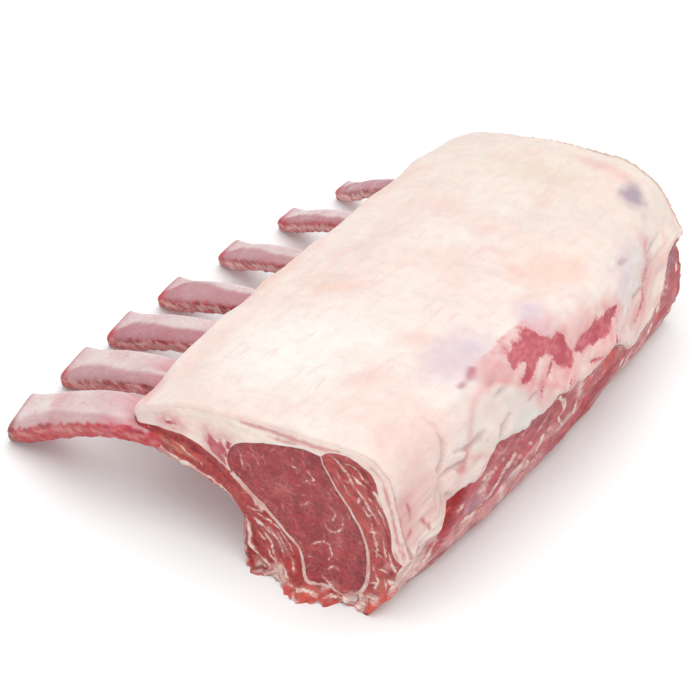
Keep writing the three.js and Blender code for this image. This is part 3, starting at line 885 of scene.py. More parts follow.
# Lumps of meat and pale places there: colour, centre and radii in Y and Z, turn, strength.
SPINE_LUMPS = (
    (tint(200, 132, 148), (44, 23), (9, 3.6), 25, 0.95),
    (tint(196, 84, 92), (52, 40), (7.5, 5.6), 10, 0.95),
    (tint(190, 104, 122), (60.5, 22.5), (5.6, 4.6), 40, 0.95),
    (tint(202, 86, 92), (66.5, 36), (6.5, 5.6), 0, 0.9),
    (tint(250, 222, 212), (70, 19), (7, 3.4), 10, 0.9), (tint(182, 68, 84), (71.5, 38), (5.6, 4), 10, 0.9),
    (tint(206, 80, 88), (73, 26.5), (6, 4.6), 30, 0.9), (tint(172, 64, 78), (77, 34), (4.6, 3.4), 30, 0.9),
    (tint(192, 72, 82), (87, 34), (5, 5.4), 10, 0.9), (tint(204, 84, 92), (90, 16.5), (7, 4), 15, 0.9),
    (tint(208, 92, 96), (104, 29), (6.5, 6.5), 0, 0.85), (tint(226, 96, 90), (111, 28), (5, 7), 10, 0.9),
    (tint(210, 30, 44), (113.4, 17), (3, 2.4), 0, 0.95),
    (tint(226, 92, 84), (118, 36), (4.4, 8), -10, 0.95),
    (tint(232, 88, 78), (125, 30), (5, 6), 0, 0.9), (tint(202, 70, 78), (130, 24), (6, 4), 20, 0.9),
    (tint(222, 140, 140), (151, 22), (6, 4), 10, 0.8), (tint(198, 58, 64), (165.5, 22), (5, 4), 0, 0.9),
    (tint(216, 80, 78), (173, 20), (6, 4), 10, 0.9), (tint(178, 104, 120), (182, 38), (8, 7), 0, 0.95),
    (tint(180, 66, 78), (179, 28.5), (5, 4.4), 0, 0.9), (tint(218, 52, 50), (191, 33), (3.4, 12), 0, 0.95),
    (tint(212, 60, 56), (185, 22), (5, 4), 20, 0.9), (tint(196, 76, 84), (40, 29), (3.4, 4), 0, 0.8),
)
# A deep red hollow by the front corner there, the wet line in it, and a short slit further on.
SPINE_SLOT = ((38.5, 34.8), (35, 31.5), (33.6, 24.5), (31, 20), (26, 19.5), (22.5, 24), (23.5, 29.4),
              (24.5, 34), (29.4, 38), (34, 39))
SPINE_SLOT_CORE = (2.8, (31.4, 29.2), (28.2, 26.8), (25.7, 22.7))
SPINE_SLIT = (2.2, (119, 43), (115.5, 40), (113.5, 35.5))
# How many short threads of marbling each muscle's cuts have.
FLECK_COUNT = {"loin_eye": 90, "cap_meat": 26, "rib_meat": 44}


def flecks(section, name):
    """Short pale threads of marbling, drawn by a seeded rule."""
    draw = np.random.default_rng(len(name))
    loop = OUTLINES[name][0]
    low, high = loop.min(0), loop.max(0)
    field = np.full(len(section), FAR_OUTSIDE)
    for _ in range(FLECK_COUNT[name]):
        middle = low + (high - low) * draw.random(2)
        angle = draw.normal(1.9, 0.7)
        half = draw.uniform(0.5, 1.6) * np.array([math.cos(angle), math.sin(angle)])
        bend = draw.normal(0, 0.3, 2)
        line = np.array([middle - half, middle + bend, middle + half])
        field = np.maximum(field, stroke(section, (draw.uniform(0.3, 0.6), *line)))
    return field


def warped(section):
    """The section a little shaken, so that drawn lines wander."""
    spots = np.column_stack([section, np.zeros(len(section))])
    shake = [0.5 * noise(spots, 3.1, seed) + 0.25 * noise(spots, 1.3, seed + 2) for seed in (71, 75)]
    return section + np.stack(shake, 1)


def lay_torn_base(paint, cuts, section):
    """The lowest few millimetres of a cut: torn, blotched with white, pink and orange-red."""
    spots = np.column_stack([section, np.zeros(len(section))])
    x, z = section.T
    reach = 6.5 - 3.5 * smooth(-28, -36, x) + 3.5 * smooth(-8, 4, x) + 14 * smooth(4, 12, x)
    torn = smooth(reach + 2.5, reach - 2.5, z + 3 * noise(spots, 5, 131)) * smooth(-46, -43, x)
    orange = hump(x, -17.5, 6) + hump(x, 3, 6)
    blotch = lumps(spots, (1, 3.4, 132), (0.5, 1.5, 133)) + 0.3 - 0.5 * orange
    blotch = blotch + 0.4 * smooth(-28, -34, x)
    rosy = mix(TORN_ROSE, TORN_RED, np.clip(orange, 0, 1)[:, None])
    paint.lay(TORN_PINK, 0.75 * torn, cuts)
    paint.lay(TORN_PALE, torn * smooth(0.05, 0.4, blotch), cuts)
    paint.lay(rosy, torn * smooth(0.0, -0.3, blotch), cuts)
    paint.lay(CRIMSON, 0.8 * torn * smooth(0.1, 0.5, noise(spots, 2.6, 139)) * (1 - orange), cuts)
    slits = ridges(spots, (5, 3, 5), 134) * smooth(0.1, 0.5, noise(spots, 7, 135))
    paint.lay(DARK_RED, 0.8 * torn * smooth(0.5, 0.9, slits), cuts)
    paint.lay(DARK_RED, 0.9 * smooth(-0.5, 0.4, stroke(section, WALL_SLIT)), cuts)


def lean_painting(layer, name, tones, lines, streaks, seed):
    """Colours and fat lines of a muscle: drawn on its cuts, plain on its walls."""
    placed, cuts = layer.placed, layer.on_cut
    own, light, dark = tones
    paint = Paint(own, len(placed))
    shade = fractal(placed, (10, 30, 10), seed)
    paint.lay(light, 0.9 * smooth(0.1, 0.8, shade))
    paint.lay(dark, 0.9 * smooth(0.1, 0.8, -shade))
    section = warped(layer.section[cuts])
    for colour, strength, *drawn in streaks:
        paint.lay(colour, strength * smooth(-0.5, 0.5, stroke(section, drawn, 0.5)), cuts)
    lay_torn_base(paint, cuts, layer.section[cuts])
    fields = {"fat": np.full(len(placed), FAR_OUTSIDE), "pale": np.full(len(placed), FAR_OUTSIDE)}
    fields["fat"][cuts] = strokes(section, lines, 0.6)
    fields["pale"][cuts] = flecks(layer.section[cuts], name)
    return placed, paint, fields


def build_eye(look):
    layer = Layer(*OUTLINES["loin_eye"])
    _, paint, fields = lean_painting(layer, "loin_eye", EYE_TONES, EYE_MARBLING, (), 81)
    loop = OUTLINES["loin_eye"][0]
    edge, _ = distance_to(layer.section, np.vstack([loop, loop[:1]]))
    paint.lay(EYE_TONES[2], 0.5 * smooth(1.6, 0.2, edge))
    return layer.finish("eye", paint.colours, fields, look, "loin_eye")


def spine_shapes(layer, placed):
    """What the colours and the relief of the bare spine side share."""
    return {
        "under_hem": hem_height(layer.straight[:, 2]) - placed[:, 2],
        "bundles": lumps(turned(placed, 20), (1, (6, 19, 4.2), 86), (0.45, (3, 8, 1.8), 87)),
        "broad": noise(turned(placed, 24), (9, 20, 6), 136) + 0.3 * noise(placed, (4, 6, 3), 137),
        "streaky": noise(turned(placed, 40), (3, 9, 1.8), 88),
        "slot": patch(placed[:, 1:], SPINE_SLOT) + 0.8 * noise(placed, 3, 97),
    }


def spine_colours(placed, shapes):
    """The bare spine side: bundles and sheets of meat, the placed lumps, the slot and the slit."""
    side = placed[:, 1:]
    y, z = side.T
    paint = Paint(SPINE_LEAN, len(y))
    paint.lay(SPINE_PALE, 0.9 * smooth(0.15, 0.5, shapes["broad"]))
    paint.lay(SPINE_DARK, 0.85 * smooth(-0.12, -0.45, shapes["broad"]))
    # Dark red just under the fat's hem: the meat's own dark edge, and painted shadow from the hem's
    # overhang.
    paint.lay(DARK_RED, 0.95 * smooth(3.2, 0.8, shapes["under_hem"]) * smooth(14, 22, y))
    sheets = ridges(turned(placed, 26), (12, 40, 9), 89) + 0.3 * noise(placed, (3, 6, 2), 90)
    paint.lay(SPINE_SHEET, 0.8 * smooth(0.5, 0.85, sheets))
    paint.lay_areas(side, SPINE_LUMPS, 0.9 * noise(placed, (3.4, 4.4, 2.4), 138), 1)
    paint.lay(SLOT_RED, smooth(-0.6, 0.6, shapes["slot"]))
    paint.lay(SLOT_WET, smooth(-0.4, 0.6, stroke(side, SPINE_SLOT_CORE)))
    paint.lay(SLIT_RED, smooth(-0.4, 0.6, stroke(side, SPINE_SLIT)))
    front = smooth(19, 12, y + 0.5 * z - 12) * (0.75 + 0.5 * shapes["streaky"])
    paint.lay(SPINE_FRONT, front)
    nicks = smooth(0.2, 0.7, noise(turned(placed, 55), (3, 6, 1.4), 98))
    paint.lay(RAW_RED, nicks * smooth(19, 12, y))
    paint.lay(SPINE_LOW, 0.6 * smooth(7, 1, z))
    paint.lay(SPINE_CORNER, smooth(9, 3, y) * smooth(16, 8, z))
    return paint.colours


def build_cap(look):
    """The cap muscle, bare on the spine side."""
    layer = Layer(*OUTLINES["cap_meat"])
    lift_hem(layer)
    placed, paint, fields = lean_painting(layer, "cap_meat", CAP_TONES, CAP_MARBLING, CAP_STREAKS, 85)
    spine = (layer.kinds == "spine") & ~layer.on_cut
    shapes = spine_shapes(layer, placed)
    paint.colours[spine] = spine_colours(placed, shapes)[spine]
    shaken = placed[:, 1:] + 0.8 * np.column_stack([shapes["bundles"], shapes["streaky"]])
    veins = np.full(len(placed), FAR_OUTSIDE)
    veins[spine] = strokes(shaken[spine], SPINE_VEINS, 0.7)
    fields["fat"][spine] = veins[spine]
    relief = 0.9 * shapes["bundles"] + 0.5 * shapes["broad"] + 0.3 * noise(placed, (3, 5, 2), 91)
    relief = relief + 0.5 * smooth(-0.4, 0.6, veins)
    relief = relief - 1.2 * smooth(4, 0.5, shapes["under_hem"]) * smooth(8, 16, placed[:, 1])
    relief = relief - 2.2 * smooth(-1.5, 2, shapes["slot"])
    relief = relief + edge_rounding(layer, 1.4) + torn_outline(layer)
    layer.push(relief * (layer.kinds == "spine"))
    return layer.finish("cap_muscle", paint.colours, fields, look, "cap_meat")


def build_rib_meat(look):
    """The meat between and under the ribs, with a white film over each bone in the arch."""
    layer = Layer(*OUTLINES["rib_meat"])
    placed, paint, fields = lean_painting(
        layer, "rib_meat", RIBMEAT_TONES, RIBMEAT_MARBLING, RIBMEAT_STREAKS, 92)
    middles = [joint + (ROOT_SHIFT - ROOT_FAN * i) / 2 for i, joint in enumerate(JOINT_Y)]
    over_bones = sum(hump(placed[:, 1], middle, 8) for middle in middles)
    film = 1.1 * (noise(placed, (14, 9, 14), 93) - 1 + over_bones) - 0.1
    wall_film = smooth(15, 4, layer.section[:, 1]) + 1.2 * noise(placed, (8, 10, 5), 94) - 0.3
    for kind, whiteness in (("arch", film), ("wall", wall_film)):
        fields["fat"] = np.where((layer.kinds == kind) & ~layer.on_cut, whiteness, fields["fat"])
    relief = lumps(placed, (0.6, (9, 9, 7), 95), (0.3, 3, 96)) + edge_rounding(layer, 1.2)
    relief = relief * np.isin(layer.kinds, ["arch", "wall"])
    layer.push(relief + torn_outline(layer) * (layer.kinds != "seam"))
    return layer.finish("rib_muscle", paint.colours, fields, look, "rib_meat")


def build_seam_fat(look):
    """The fat between the eye and its neighbours, through the whole block."""
    for name in SEAM_WIDTHS:
        layer = Layer(*seam_outline(name), near_step=0.6, far_step=1.0)
        placed = layer.placed
        paint = Paint(SEAM_FAT, len(placed))
        paint.lay(SEAM_PINK, 0.5 + noise(placed, 3, 101))
        bare = 0.9 * noise(placed, (2.5, 2.5, 4), 102) - 0.75
        layer.finish(f"seam_{name}", paint.colours, {"bare": bare}, look)


# ---- the bones ----
RING = 60
BONE_STEP = 0.9
SQUARENESS = 0.46  # of the bone's section: 1 for an ellipse, towards 0 for a box
FLATNESS = 0.55
BONE_SILVER = tint(228, 190, 192)
BONE_WHITE = tint(238, 220, 216)
BONE_MAUVE_AND_SHADE = tint(184, 102, 114)
BONE_PINK = tint(216, 136, 138)
BONE_RED = tint(200, 0, 30)
BONE_BROWN = tint(160, 64, 62)
BONE_RIM = tint(176, 62, 76)
BONE_SCRAP = tint(255, 186, 178)
BONE_SIDE = tint(264, 206, 198)
BONE_WINE = tint(160, 0, 36)
BONE_ROOT = tint(214, 96, 116)
BONE_SHELL = tint(236, 200, 190)
MARROW = tint(172, 44, 50)
# The tip's cut face closes in on its middle by rings at these shares of its size.
TIP_RINGS = np.array([0.88, 0.74, 0.6, 0.45, 0.3, 0.15])
TIP_HOLLOW = 0.8


def rib_size(index, share):
    order = index / (RIB_COUNT - 1)
    narrowing = mix(1, ROOT_NARROWING, share)
    return mix(*RIB_WIDTH, order) / 2 * narrowing, mix(*RIB_THICKNESS, order) / 2 * narrowing


def rib_line(index):
    """A bone's middle line, from the tip to the root, as in the solids."""
    half_w, lift = rib_size(index, 0)
    tip_z = (lift * math.cos(RIB_ROLL) + half_w * math.sin(RIB_ROLL)) * TIP_LEAN
    tip = (FARTHEST_TIP_X + TIP_ARC * (index - TIP_ARC_MIDDLE) ** 2, TIP_Y[index], tip_z)
    joint = (ARCH[0][0], JOINT_Y[index], ARCH[0][1] + lift)
    root_y = JOINT_Y[index] + ROOT_SHIFT - ROOT_FAN * index
    keys = [(mix(tip[0], joint[0], along), mix(tip[1], joint[1], along), mix(tip[2], joint[2], rise))
            for along, rise in TIP_CURVE]
    for x, z in ARCH:
        along = (x - ARCH[0][0]) / (ARCH[-1][0] - ARCH[0][0])
        own = rib_size(index, mix(0.5, 1, along))[1]
        keys.append((x, mix(JOINT_Y[index], root_y, along), z + own))
    return spline(keys, BONE_STEP)


def bone_section():
    """The bone's outline, evenly spaced, as (across, height) from -1 to 1, from the middle of its
    far side over its outer face to the near side and round below."""
    angle = np.linspace(0, 2 * np.pi, 1441)
    waves = np.stack([np.cos(angle), np.sin(angle)])
    across, height = np.sign(waves) * np.abs(waves) ** SQUARENESS
    shape = np.stack([across, height * FLATNESS], 1)
    run = np.r_[0, np.cumsum(np.linalg.norm(np.diff(shape, axis=0), axis=1))]
    spots = np.linspace(0, run[-1], RING, endpoint=False)
    return np.interp(spots, run, across), np.interp(spots, run, height)


# For each bone: how far its mauve lens reaches up the face (the bone's own mauve, with painted shade
# toward its near side), how strong that lens is and how red the bone is.
RIB_TONES = ((0.34, 0.45, 0.95), (0.4, 0.7, 0.9), (0.55, 0.85, 0.95), (0.85, 0.8, 1.0),
             (0.62, 0.8, 0.95), (0.55, 1.0, 1.0), (1.1, 0.95, 0.8))
# For each bone: how white its face is, how pale its near side is, how much of that is scraps, and how
# far down that side the blood begins, in mm.
FACE_WHITENESS = (0.5, 0.5, 0.2, 0.2, 0.2, 0.2, 0.2)
SIDE_PALENESS = (0.1, 0.35, 0.5, 0.4, 0.55, 0.25, 0.8)
SCRAPPINESS = (0.4, 0.9, 0.9, 0.9, 0.9, 0.9, 0.9)
BLOOD_START = (0.2, 1.7, 1.0, 0.4, 0.6, 0.2, 0.6)


def lay_bone_face(paint, index, up, run, points):
    """A bone's outer face, silvery, with a mauve lens along its lower part: the bone's own mauve and
    painted shade toward its near side. Up is the distance in mm from the face's near edge, run the one
    from the bone's tip."""
    seed = 120 + 10 * index
    reach, mauve, redness = RIB_TONES[index]
    width = 2 * rib_size(index, 0)[0]
    wander = lumps(points, (0.6, (12, 9, 9), seed), (0.25, (3, 3, 3), seed + 1))
    lens = width * reach * smooth(-5, 17, run) * (1 - 0.3 * smooth(24, 50, run))
    paint.lay(BONE_WHITE, FACE_WHITENESS[index] + 0.9 * noise(points, (26, 7, 7), seed + 2))
    paint.lay(BONE_PINK, smooth(0.3, 0.9, noise(points, (24, 5, 5), seed + 3)) * 0.5)
    # The mauve lens: the bone's own mauve, with painted shade toward the near side.
    paint.lay(BONE_MAUVE_AND_SHADE, mauve * smooth(lens + 1.4, lens - 2.2, up + wander * 1.2))
    paint.lay(BONE_WHITE, 0.5 * hump(up + wander, lens, 0.9) * smooth(2, 8, run))
    patchy = smooth(-0.3, 0.4, noise(points, (9, 5, 5), seed + 6))
    paint.lay(BONE_RIM, redness * smooth(width - 1.6, width - 0.2, up + wander) * patchy)
    return wander


def lay_bone_side(paint, index, down, run, points, wander):
    """A bone's near side, with blood, scraps and blots, and its reddened tip and root."""
    seed = 120 + 10 * index
    redness = RIB_TONES[index][2]
    below = down - BLOOD_START[index]
    spikes = 1.1 * noise(points, (1.5, 1.5, 1.5), seed + 5)
    paint.lay(BONE_RED, redness * smooth(-0.4, 0.7, below + spikes + wander * 0.5))
    scraps = lumps(points, (1, (5, 1.8, 2.6), seed + 8), (0.6, (1.6, 1.6, 1.6), seed + 9)) + 0.2
    scrappy = SCRAPPINESS[index] * smooth(0.8, 2.0, down + spikes)
    paint.lay(BONE_SCRAP, scrappy * smooth(-0.1, 0.3, scraps))
    paint.lay(BONE_RED, 0.85 * redness * smooth(3.4, 4.6, down + 2 * spikes))
    specks = 0.15 + 0.85 * smooth(-0.1, 0.2, noise(points, (2.6, 1.3, 1.3), seed + 4))
    paleness = SIDE_PALENESS[index] * smooth(0.6, 1.6, below + 1.5 * spikes) * specks
    paint.lay(BONE_SIDE, paleness * (1 - 0.8 * hump(run, 0, 7)))
    blots = smooth(0.0, 0.4, noise(points, (4, 2, 2), seed + 10))
    blots = blots * smooth(-0.8, 0.2, below + 0.5 * spikes) * smooth(2.6, 1.2, below)
    paint.lay(BONE_WINE, 0.8 * redness * blots)
    paint.lay(BONE_RIM, 0.7 * hump(run, 0, 2.4))
    low_tip = hump(run, 0, 4.6) * smooth(-6.0, -1.0, down + wander)
    paint.lay(BONE_RED if index else BONE_BROWN, low_tip * redness)
    fringe = smooth(-104, -94, points[:, 0]) * smooth(-0.5, 0.3, noise(points, (4, 3, 3), seed + 7))
    paint.lay(BONE_ROOT, 0.35 * fringe)


def bone_axes(line, shares):
    """The ways along, across and out of a bone at each ring, rolled over towards its tip."""
    along = unit(np.gradient(line, axis=0))
    sideways = unit(np.cross([0, 0, 1], along))
    upward = np.cross(along, sideways)
    roll = (RIB_ROLL * smooth(*ROLL_FADE, shares))[:, None]
    across = sideways * np.cos(roll) + upward * np.sin(roll)
    outward = upward * np.cos(roll) - sideways * np.sin(roll)
    return along[:, None], across[:, None], outward[:, None]


def bone_walls(index):
    """The bone's rings of points, one after another, the way along its tip, and for each point how far
    down from the near edge of the outer face and how far in from the tip it lies, in mm."""
    line = rib_line(index)
    shares = np.linspace(0, 1, len(line))
    along, sideways, upward = bone_axes(line, shares)
    half_w, half_t = (half[:, None] for half in rib_size(index, shares))
    across, height = bone_section()
    thick = height * half_t
    slant = TIP_SLANT * thick * smooth(0.13, 0, shares)[:, None]
    points = (line[:, None] + sideways * (across * half_w)[..., None] + upward * thick[..., None]
              + along * slant[..., None]).reshape(-1, 3)
    outward = unit(sideways * across[:, None] + upward * height[:, None]).reshape(-1, 3)
    perimeter = 4 * (half_w + half_t) * 0.9
    turn = np.arange(RING) / RING
    down = ((turn - turn[np.argmax(height - across)]) * perimeter).ravel()
    run = np.repeat(shares * (len(line) - 1) * BONE_STEP, RING)
    relief = bone_relief(index, down, run, points)
    points = points + outward * (relief * smooth(0.0, 1.2, points[:, 2]))[:, None]
    return points, along[0, 0], down, run


def bone_relief(index, down, run, points):
    """A little swell, scraps along the lower side and a rounded edge at the tip."""
    lower = smooth(1.0, 4.0, down) * smooth(24, 14, down)
    relief = lumps(points, (0.1, (14, 5, 5), 140 + index), (0.06, 2, 150 + index))
    relief += lower * (0.5 * noise(points, (2.2, 2.2, 2.2), 160 + index) - 0.1)
    return relief - 0.8 * np.clip(1 - run / 1.3, 0, 1) ** 2


def bone_tip(index, rim, along, first):
    """Points and faces of the tip's cut face, a little hollow in its middle, and their colours."""
    middle = rim.mean(0)
    steps = np.arange(RING)
    last, rings, faces = steps, [], []
    for share in TIP_RINGS:
        ring = middle + (rim - middle) * share
        ring = ring + along * (TIP_HOLLOW * (1 - share) ** 1.5)
        ring = ring + along * (0.3 * noise(ring, 1.6, 170 + index))[:, None]
        these = first + len(rings) * RING + steps
        faces += np.column_stack([np.roll(last, -1), last, these, np.roll(these, -1)]).tolist()
        rings.append(ring)
        last = these
    centre = first + len(rings) * RING
    faces += np.column_stack([np.roll(last, -1), last, np.full(RING, centre)]).tolist()
    points = np.vstack([*rings, middle + along * TIP_HOLLOW])
    inwards = np.r_[np.repeat(1 - TIP_RINGS, RING), 1.0] + 0.3 * noise(points, 1.8, 180 + index)
    paint = Paint(BONE_PINK, len(points))
    paint.lay(BONE_SHELL, smooth(0.1, 0.3, inwards))
    paint.lay(MARROW, smooth(0.45, 0.7, inwards))
    return points, faces, paint.colours


def build_bone(index, look):
    points, along, down, run = bone_walls(index)
    paint = Paint(BONE_SILVER, len(points))
    wander = lay_bone_face(paint, index, -down, run, points)
    lay_bone_side(paint, index, down, run, points, wander)
    tip, tip_faces, tip_colours = bone_tip(index, points[:RING], along, len(points))
    root_face = list(range(len(points) - RING, len(points)))
    faces = [*wall_faces(len(points) // RING, RING), *tip_faces, root_face]
    every = np.vstack([points, tip])
    every[:, 2] = np.maximum(every[:, 2], 0.05)
    colours = np.vstack([paint.colours, tip_colours])
    return make_piece(f"bone_{index + 1}", every, faces, colours, {}, look, f"rib_{index + 1}")


# ---- materials ----
class Look:
    """A material's node tree, with short ways to add to it."""

    def __init__(self, slot):
        self.material = bpy.data.materials.new(slot)
        self.material.use_nodes = True
        self.slot = slot
        self.tree = self.material.node_tree
        self.shader = self.tree.nodes["Principled BSDF"]
        self.coordinates = self.tree.nodes.new("ShaderNodeTexCoord").outputs["Object"]

    def put(self, socket, value):
        if isinstance(value, bpy.types.NodeSocket):
            self.tree.links.new(value, socket)
        elif isinstance(value, np.ndarray):
            socket.default_value = (*value.tolist(), 1.0)
        else:
            socket.default_value = value

    def field(self, name, output="Fac"):
        node = self.tree.nodes.new("ShaderNodeAttribute")
        node.attribute_name = name
        return node.outputs[output]

    def maths(self, operation, first, second=0.0):
        node = self.tree.nodes.new("ShaderNodeMath")
        node.operation = operation
        self.put(node.inputs[0], first)
        self.put(node.inputs[1], second)
        return node.outputs[0]

    def spread(self, value, low, high, from_zero=0.0, to_one=1.0):
        """Takes low..high smoothly to 0..1, or to another range."""
        node = self.tree.nodes.new("ShaderNodeMapRange")
        node.interpolation_type = "SMOOTHSTEP"
        self.put(node.inputs["Value"], value)
        limits = {"From Min": low, "From Max": high, "To Min": from_zero, "To Max": to_one}
        for name, number in limits.items():
            node.inputs[name].default_value = number
        return node.outputs["Result"]

    def blend(self, share, first, second, how="MIX"):
        node = self.tree.nodes.new("ShaderNodeMix")
        node.data_type = "RGBA"
        node.blend_type = how
        self.put(node.inputs["Factor"], share)
        self.put(node.inputs["A"], first)
        self.put(node.inputs["B"], second)
        return node.outputs["Result"]

    def where(self, stretch=(1, 1, 1), turn=0):
        """Object coordinates, longer along the axes with a larger stretch, turned about X."""
        mapping = self.tree.nodes.new("ShaderNodeMapping")
        mapping.vector_type = "TEXTURE"
        mapping.inputs["Scale"].default_value = stretch
        mapping.inputs["Rotation"].default_value = (math.radians(turn), 0, 0)
        self.tree.links.new(self.coordinates, mapping.inputs["Vector"])
        return mapping.outputs["Vector"]

    def noise(self, size_mm, detail=2.0, stretch=(1, 1, 1), distortion=0.0, turn=0):
        """Noise with lumps of a size in mm."""
        node = self.tree.nodes.new("ShaderNodeTexNoise")
        self.tree.links.new(self.where(stretch, turn), node.inputs["Vector"])
        node.inputs["Scale"].default_value = 1 / (size_mm * MM)
        node.inputs["Detail"].default_value = detail
        node.inputs["Distortion"].default_value = distortion
        return node.outputs["Fac"]

    def cells(self, size_mm, stretch=(1, 1, 1)):
        """Distance to the border of cells of a size in mm, as in bundles of fibre."""
        node = self.tree.nodes.new("ShaderNodeTexVoronoi")
        node.feature = "DISTANCE_TO_EDGE"
        self.tree.links.new(self.where(stretch), node.inputs["Vector"])
        node.inputs["Scale"].default_value = 1 / (size_mm * MM)
        return node.outputs["Distance"]

    def flecked(self, colour, value, low, high, strength, other):
        """Blends another colour in, up to a strength, where a value is high."""
        return self.blend(self.spread(value, low, high, 0, strength), colour, other)

    def jag(self, size_mm, amount):
        """Fine noise about zero, which breaks up the edge of a painted field."""
        return self.maths("MULTIPLY", self.maths("SUBTRACT", self.noise(size_mm, 3), 0.5), amount)

    def shaded(self, colour, value, low, high, darkest, lightest):
        """Multiplies a colour by a grey that follows a value."""
        grey = self.spread(value, low, high, darkest, lightest)
        return self.blend(1.0, colour, grey, "MULTIPLY")

    def bump(self, height, depth_mm, before=None):
        node = self.tree.nodes.new("ShaderNodeBump")
        node.inputs["Strength"].default_value = 1.0
        node.inputs["Distance"].default_value = depth_mm * MM
        self.put(node.inputs["Height"], height)
        if before is not None:
            self.tree.links.new(before, node.inputs["Normal"])
        return node.outputs["Normal"]

    def finish(self, colour, roughness, normal, scatter, radius_mm):
        self.put(self.shader.inputs["Base Color"], colour)
        self.put(self.shader.inputs["Roughness"], roughness)
        self.put(self.shader.inputs["Normal"], normal)
        self.shader.inputs["Subsurface Weight"].default_value = scatter
        self.shader.inputs["Subsurface Radius"].default_value = (1.0, 0.35, 0.25)
        self.shader.inputs["Subsurface Scale"].default_value = radius_mm * MM
        self.shader.inputs["Specular IOR Level"].default_value = 0.35
        return self


def fat_look():
    """Fat: a cream skin with fine fibres, scratches and veins, and lean in its bare places."""
    look = Look("fat")
    colour = look.field("tint", "Color")
    fibres = look.noise(1.6, 4, (1, 3, 1), 0.6, 14)
    colour = look.shaded(colour, look.noise(4.5, 4), 0.3, 0.7, 0.965, 1.02)
    colour = look.flecked(colour, fibres, 0.58, 0.8, 0.28, tint(232, 178, 170))
    scratches, veins = look.noise(2.6, 5, (1, 6, 1), 1.0), look.noise(3.4, 5, (7, 1, 2), 1.2)
    colour = look.flecked(colour, scratches, 0.56, 0.7, 0.3, tint(238, 196, 192))
    colour = look.flecked(colour, veins, 0.58, 0.72, 0.3, tint(226, 206, 210))
    colour = look.flecked(colour, look.noise(1.3, 1), 0.76, 0.82, 0.3, tint(210, 130, 126))
    colour = look.flecked(colour, look.noise(7, 3), 0.5, 0.72, 0.22, tint(246, 212, 204))
    grain = look.noise(1.2, 4, (1, 3, 0.8), 0.5, 24)
    lean = look.blend(look.spread(grain, 0.34, 0.66), tint(198, 96, 106), tint(216, 122, 128))
    lean = look.flecked(lean, look.noise(5, 3, (1, 1.6, 1)), 0.44, 0.6, 0.7, tint(186, 74, 88))
    edge = look.maths("ADD", look.field("bare"), look.jag(1.1, 1.8))
    colour = look.blend(look.spread(edge, -0.2, 0.6), colour, lean)
    normal = look.bump(fibres, 0.22)
    normal = look.bump(look.noise(0.6, 3), 0.06, normal)
    rough = look.spread(look.noise(3, 2), 0.3, 0.7, 0.34, 0.52)
    return look.finish(colour, rough, normal, 0.2, 2.5)


def lean_look(slot, network):
    """Lean: fine fibres, a faint network of bundles, pale threads and lines of fat."""
    look = Look(slot)
    colour = look.field("tint", "Color")
    streaks = look.noise(1.5, 4, (1, 2, 1), 0.4)
    colour = look.shaded(colour, streaks, 0.32, 0.68, 0.8, 1.16)
    colour = look.shaded(colour, look.noise(4.5, 3), 0.35, 0.65, 0.84, 1.08)
    patches = look.spread(look.noise(5, 2), 0.42, 0.6)
    borders = look.spread(look.cells(2.1, (1, 3, 1)), 0.0, 0.2, network, 0)
    colour = look.blend(look.maths("MULTIPLY", borders, patches), colour, tint(214, 140, 136))
    jag = look.jag(1.4, 1.3)
    pale = look.maths("ADD", look.field("pale"), jag)
    colour = look.flecked(colour, pale, -0.3, 0.2, 0.5, tint(222, 148, 144))
    edge = look.maths("ADD", look.field("fat"), jag)
    colour = look.flecked(colour, edge, -0.8, 0.0, 0.5, tint(206, 118, 114))
    creamy = look.spread(look.noise(2.2, 2), 0.38, 0.66)
    white = look.blend(creamy, tint(250, 226, 214), tint(232, 172, 164))
    colour = look.blend(look.spread(edge, -0.1, 0.3), colour, white)
    normal = look.bump(look.noise(1.0, 3, (1, 2, 1), 0.5), 0.22)
    normal = look.bump(look.spread(edge, -0.3, 0.3), 0.12, normal)
    rough = look.spread(look.noise(2, 2), 0.3, 0.7, 0.32, 0.5)
    return look.finish(colour, rough, normal, 0.08, 1.2)


def bone_look():
    """Bone under its silvery skin: fine streaks along it and a little blood."""
    look = Look("bone")
    colour = look.field("tint", "Color")
    streaks = look.noise(1.6, 3, (6, 1, 1), 0.2)
    colour = look.shaded(colour, streaks, 0.3, 0.7, 0.93, 1.05)
    colour = look.flecked(colour, look.noise(2.4, 3, (4, 1, 1)), 0.6, 0.74, 0.35, tint(196, 110, 114))
    normal = look.bump(look.noise(1.8, 2, (5, 1, 1)), 0.1)
    rough = look.spread(look.noise(3, 2), 0.3, 0.7, 0.22, 0.42)
    return look.finish(colour, rough, normal, 0.1, 1.2)


# ---- the stage ----
FLOOR_REACH_M = 3.0
# As over a light table, the floor shines a little of its own.
FLOOR_LOOK = {"Base Color": (0.8, 0.825, 0.82, 1), "Roughness": 0.9, "Specular IOR Level": 0.1,
              "Emission Color": (1, 1, 1, 1), "Emission Strength": 0.04}
SKY = 0.92
LAMP_PLACE_M, LAMP_SIZE_M, LAMP_WATTS = (0.22, -0.12, 1.15), 1.1, 8.5
# The photograph's view: its angles in degrees, its focal length in its own 700 pixels, and the eye's
# place in mm from the foot of the near spine corner.
AZIMUTH, ELEVATION = 36.2, 40
FOCAL_PX, FRAME_PX = 1876, 700
EYE_FROM_CORNER = (241.0, -336.4, 458.3)


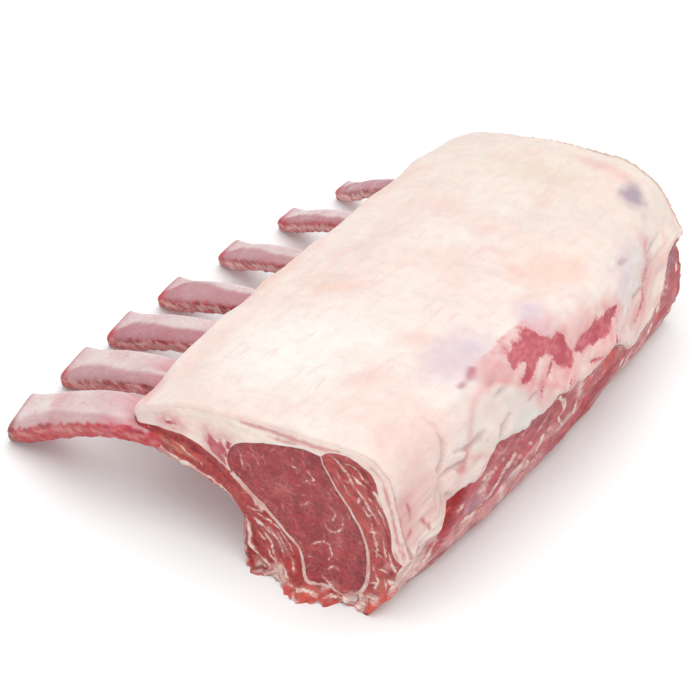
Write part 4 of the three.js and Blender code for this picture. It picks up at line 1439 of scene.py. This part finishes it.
def add_floor():
    mesh = bpy.data.meshes.new("floor")
    corners = [(x * FLOOR_REACH_M, y * FLOOR_REACH_M, 0) for x, y in ((-1, -1), (1, -1), (1, 1), (-1, 1))]
    mesh.from_pydata(corners, [], [(0, 1, 2, 3)])
    material = bpy.data.materials.new("floor")
    material.use_nodes = True
    shader = material.node_tree.nodes["Principled BSDF"]
    for socket, value in FLOOR_LOOK.items():
        shader.inputs[socket].default_value = value
    mesh.materials.append(material)
    floor = add_object("floor", mesh)


def add_light():
    """An even white sky and one large soft lamp overhead."""
    world = bpy.data.worlds.new("studio")
    world.use_nodes = True
    background = world.node_tree.nodes["Background"]
    background.inputs["Color"].default_value = (1, 1, 1, 1)
    background.inputs["Strength"].default_value = SKY
    bpy.context.scene.world = world
    light = bpy.data.lights.new("overhead", "AREA")
    light.shape, light.size, light.energy = "DISK", LAMP_SIZE_M, LAMP_WATTS
    lamp = add_object("overhead", light)
    lamp.location = LAMP_PLACE_M
    lamp.rotation_euler = (-lamp.location).to_track_quat("-Z", "Y").to_euler()


def add_camera():
    azimuth, elevation = math.radians(AZIMUTH), math.radians(ELEVATION)
    camera = bpy.data.cameras.new("camera")
    camera.sensor_width = 36
    camera.lens = camera.sensor_width * FOCAL_PX / FRAME_PX
    camera.clip_start, camera.clip_end = 0.05, 20
    eye = add_object("camera", camera)
    eye.location = Vector(EYE_FROM_CORNER + BLOCK_ORIGIN) * MM
    ahead = Vector((-math.sin(azimuth) * math.cos(elevation), math.cos(azimuth) * math.cos(elevation),
                    -math.sin(elevation)))
    eye.rotation_euler = ahead.to_track_quat("-Z", "Y").to_euler()
    bpy.context.scene.camera = eye


bpy.context.scene.view_settings.view_transform = "Standard"
add_camera()
add_floor()
add_light()

fat_material = fat_look()
build_fat(fat_material)
build_seam_fat(fat_material)
build_eye(lean_look("eye_lean", 0.22))
build_cap(lean_look("cap_lean", 0.06))
build_rib_meat(lean_look("rib_lean", 0.15))
bone_material = bone_look()
for rib_index in range(RIB_COUNT):
    build_bone(rib_index, bone_material)
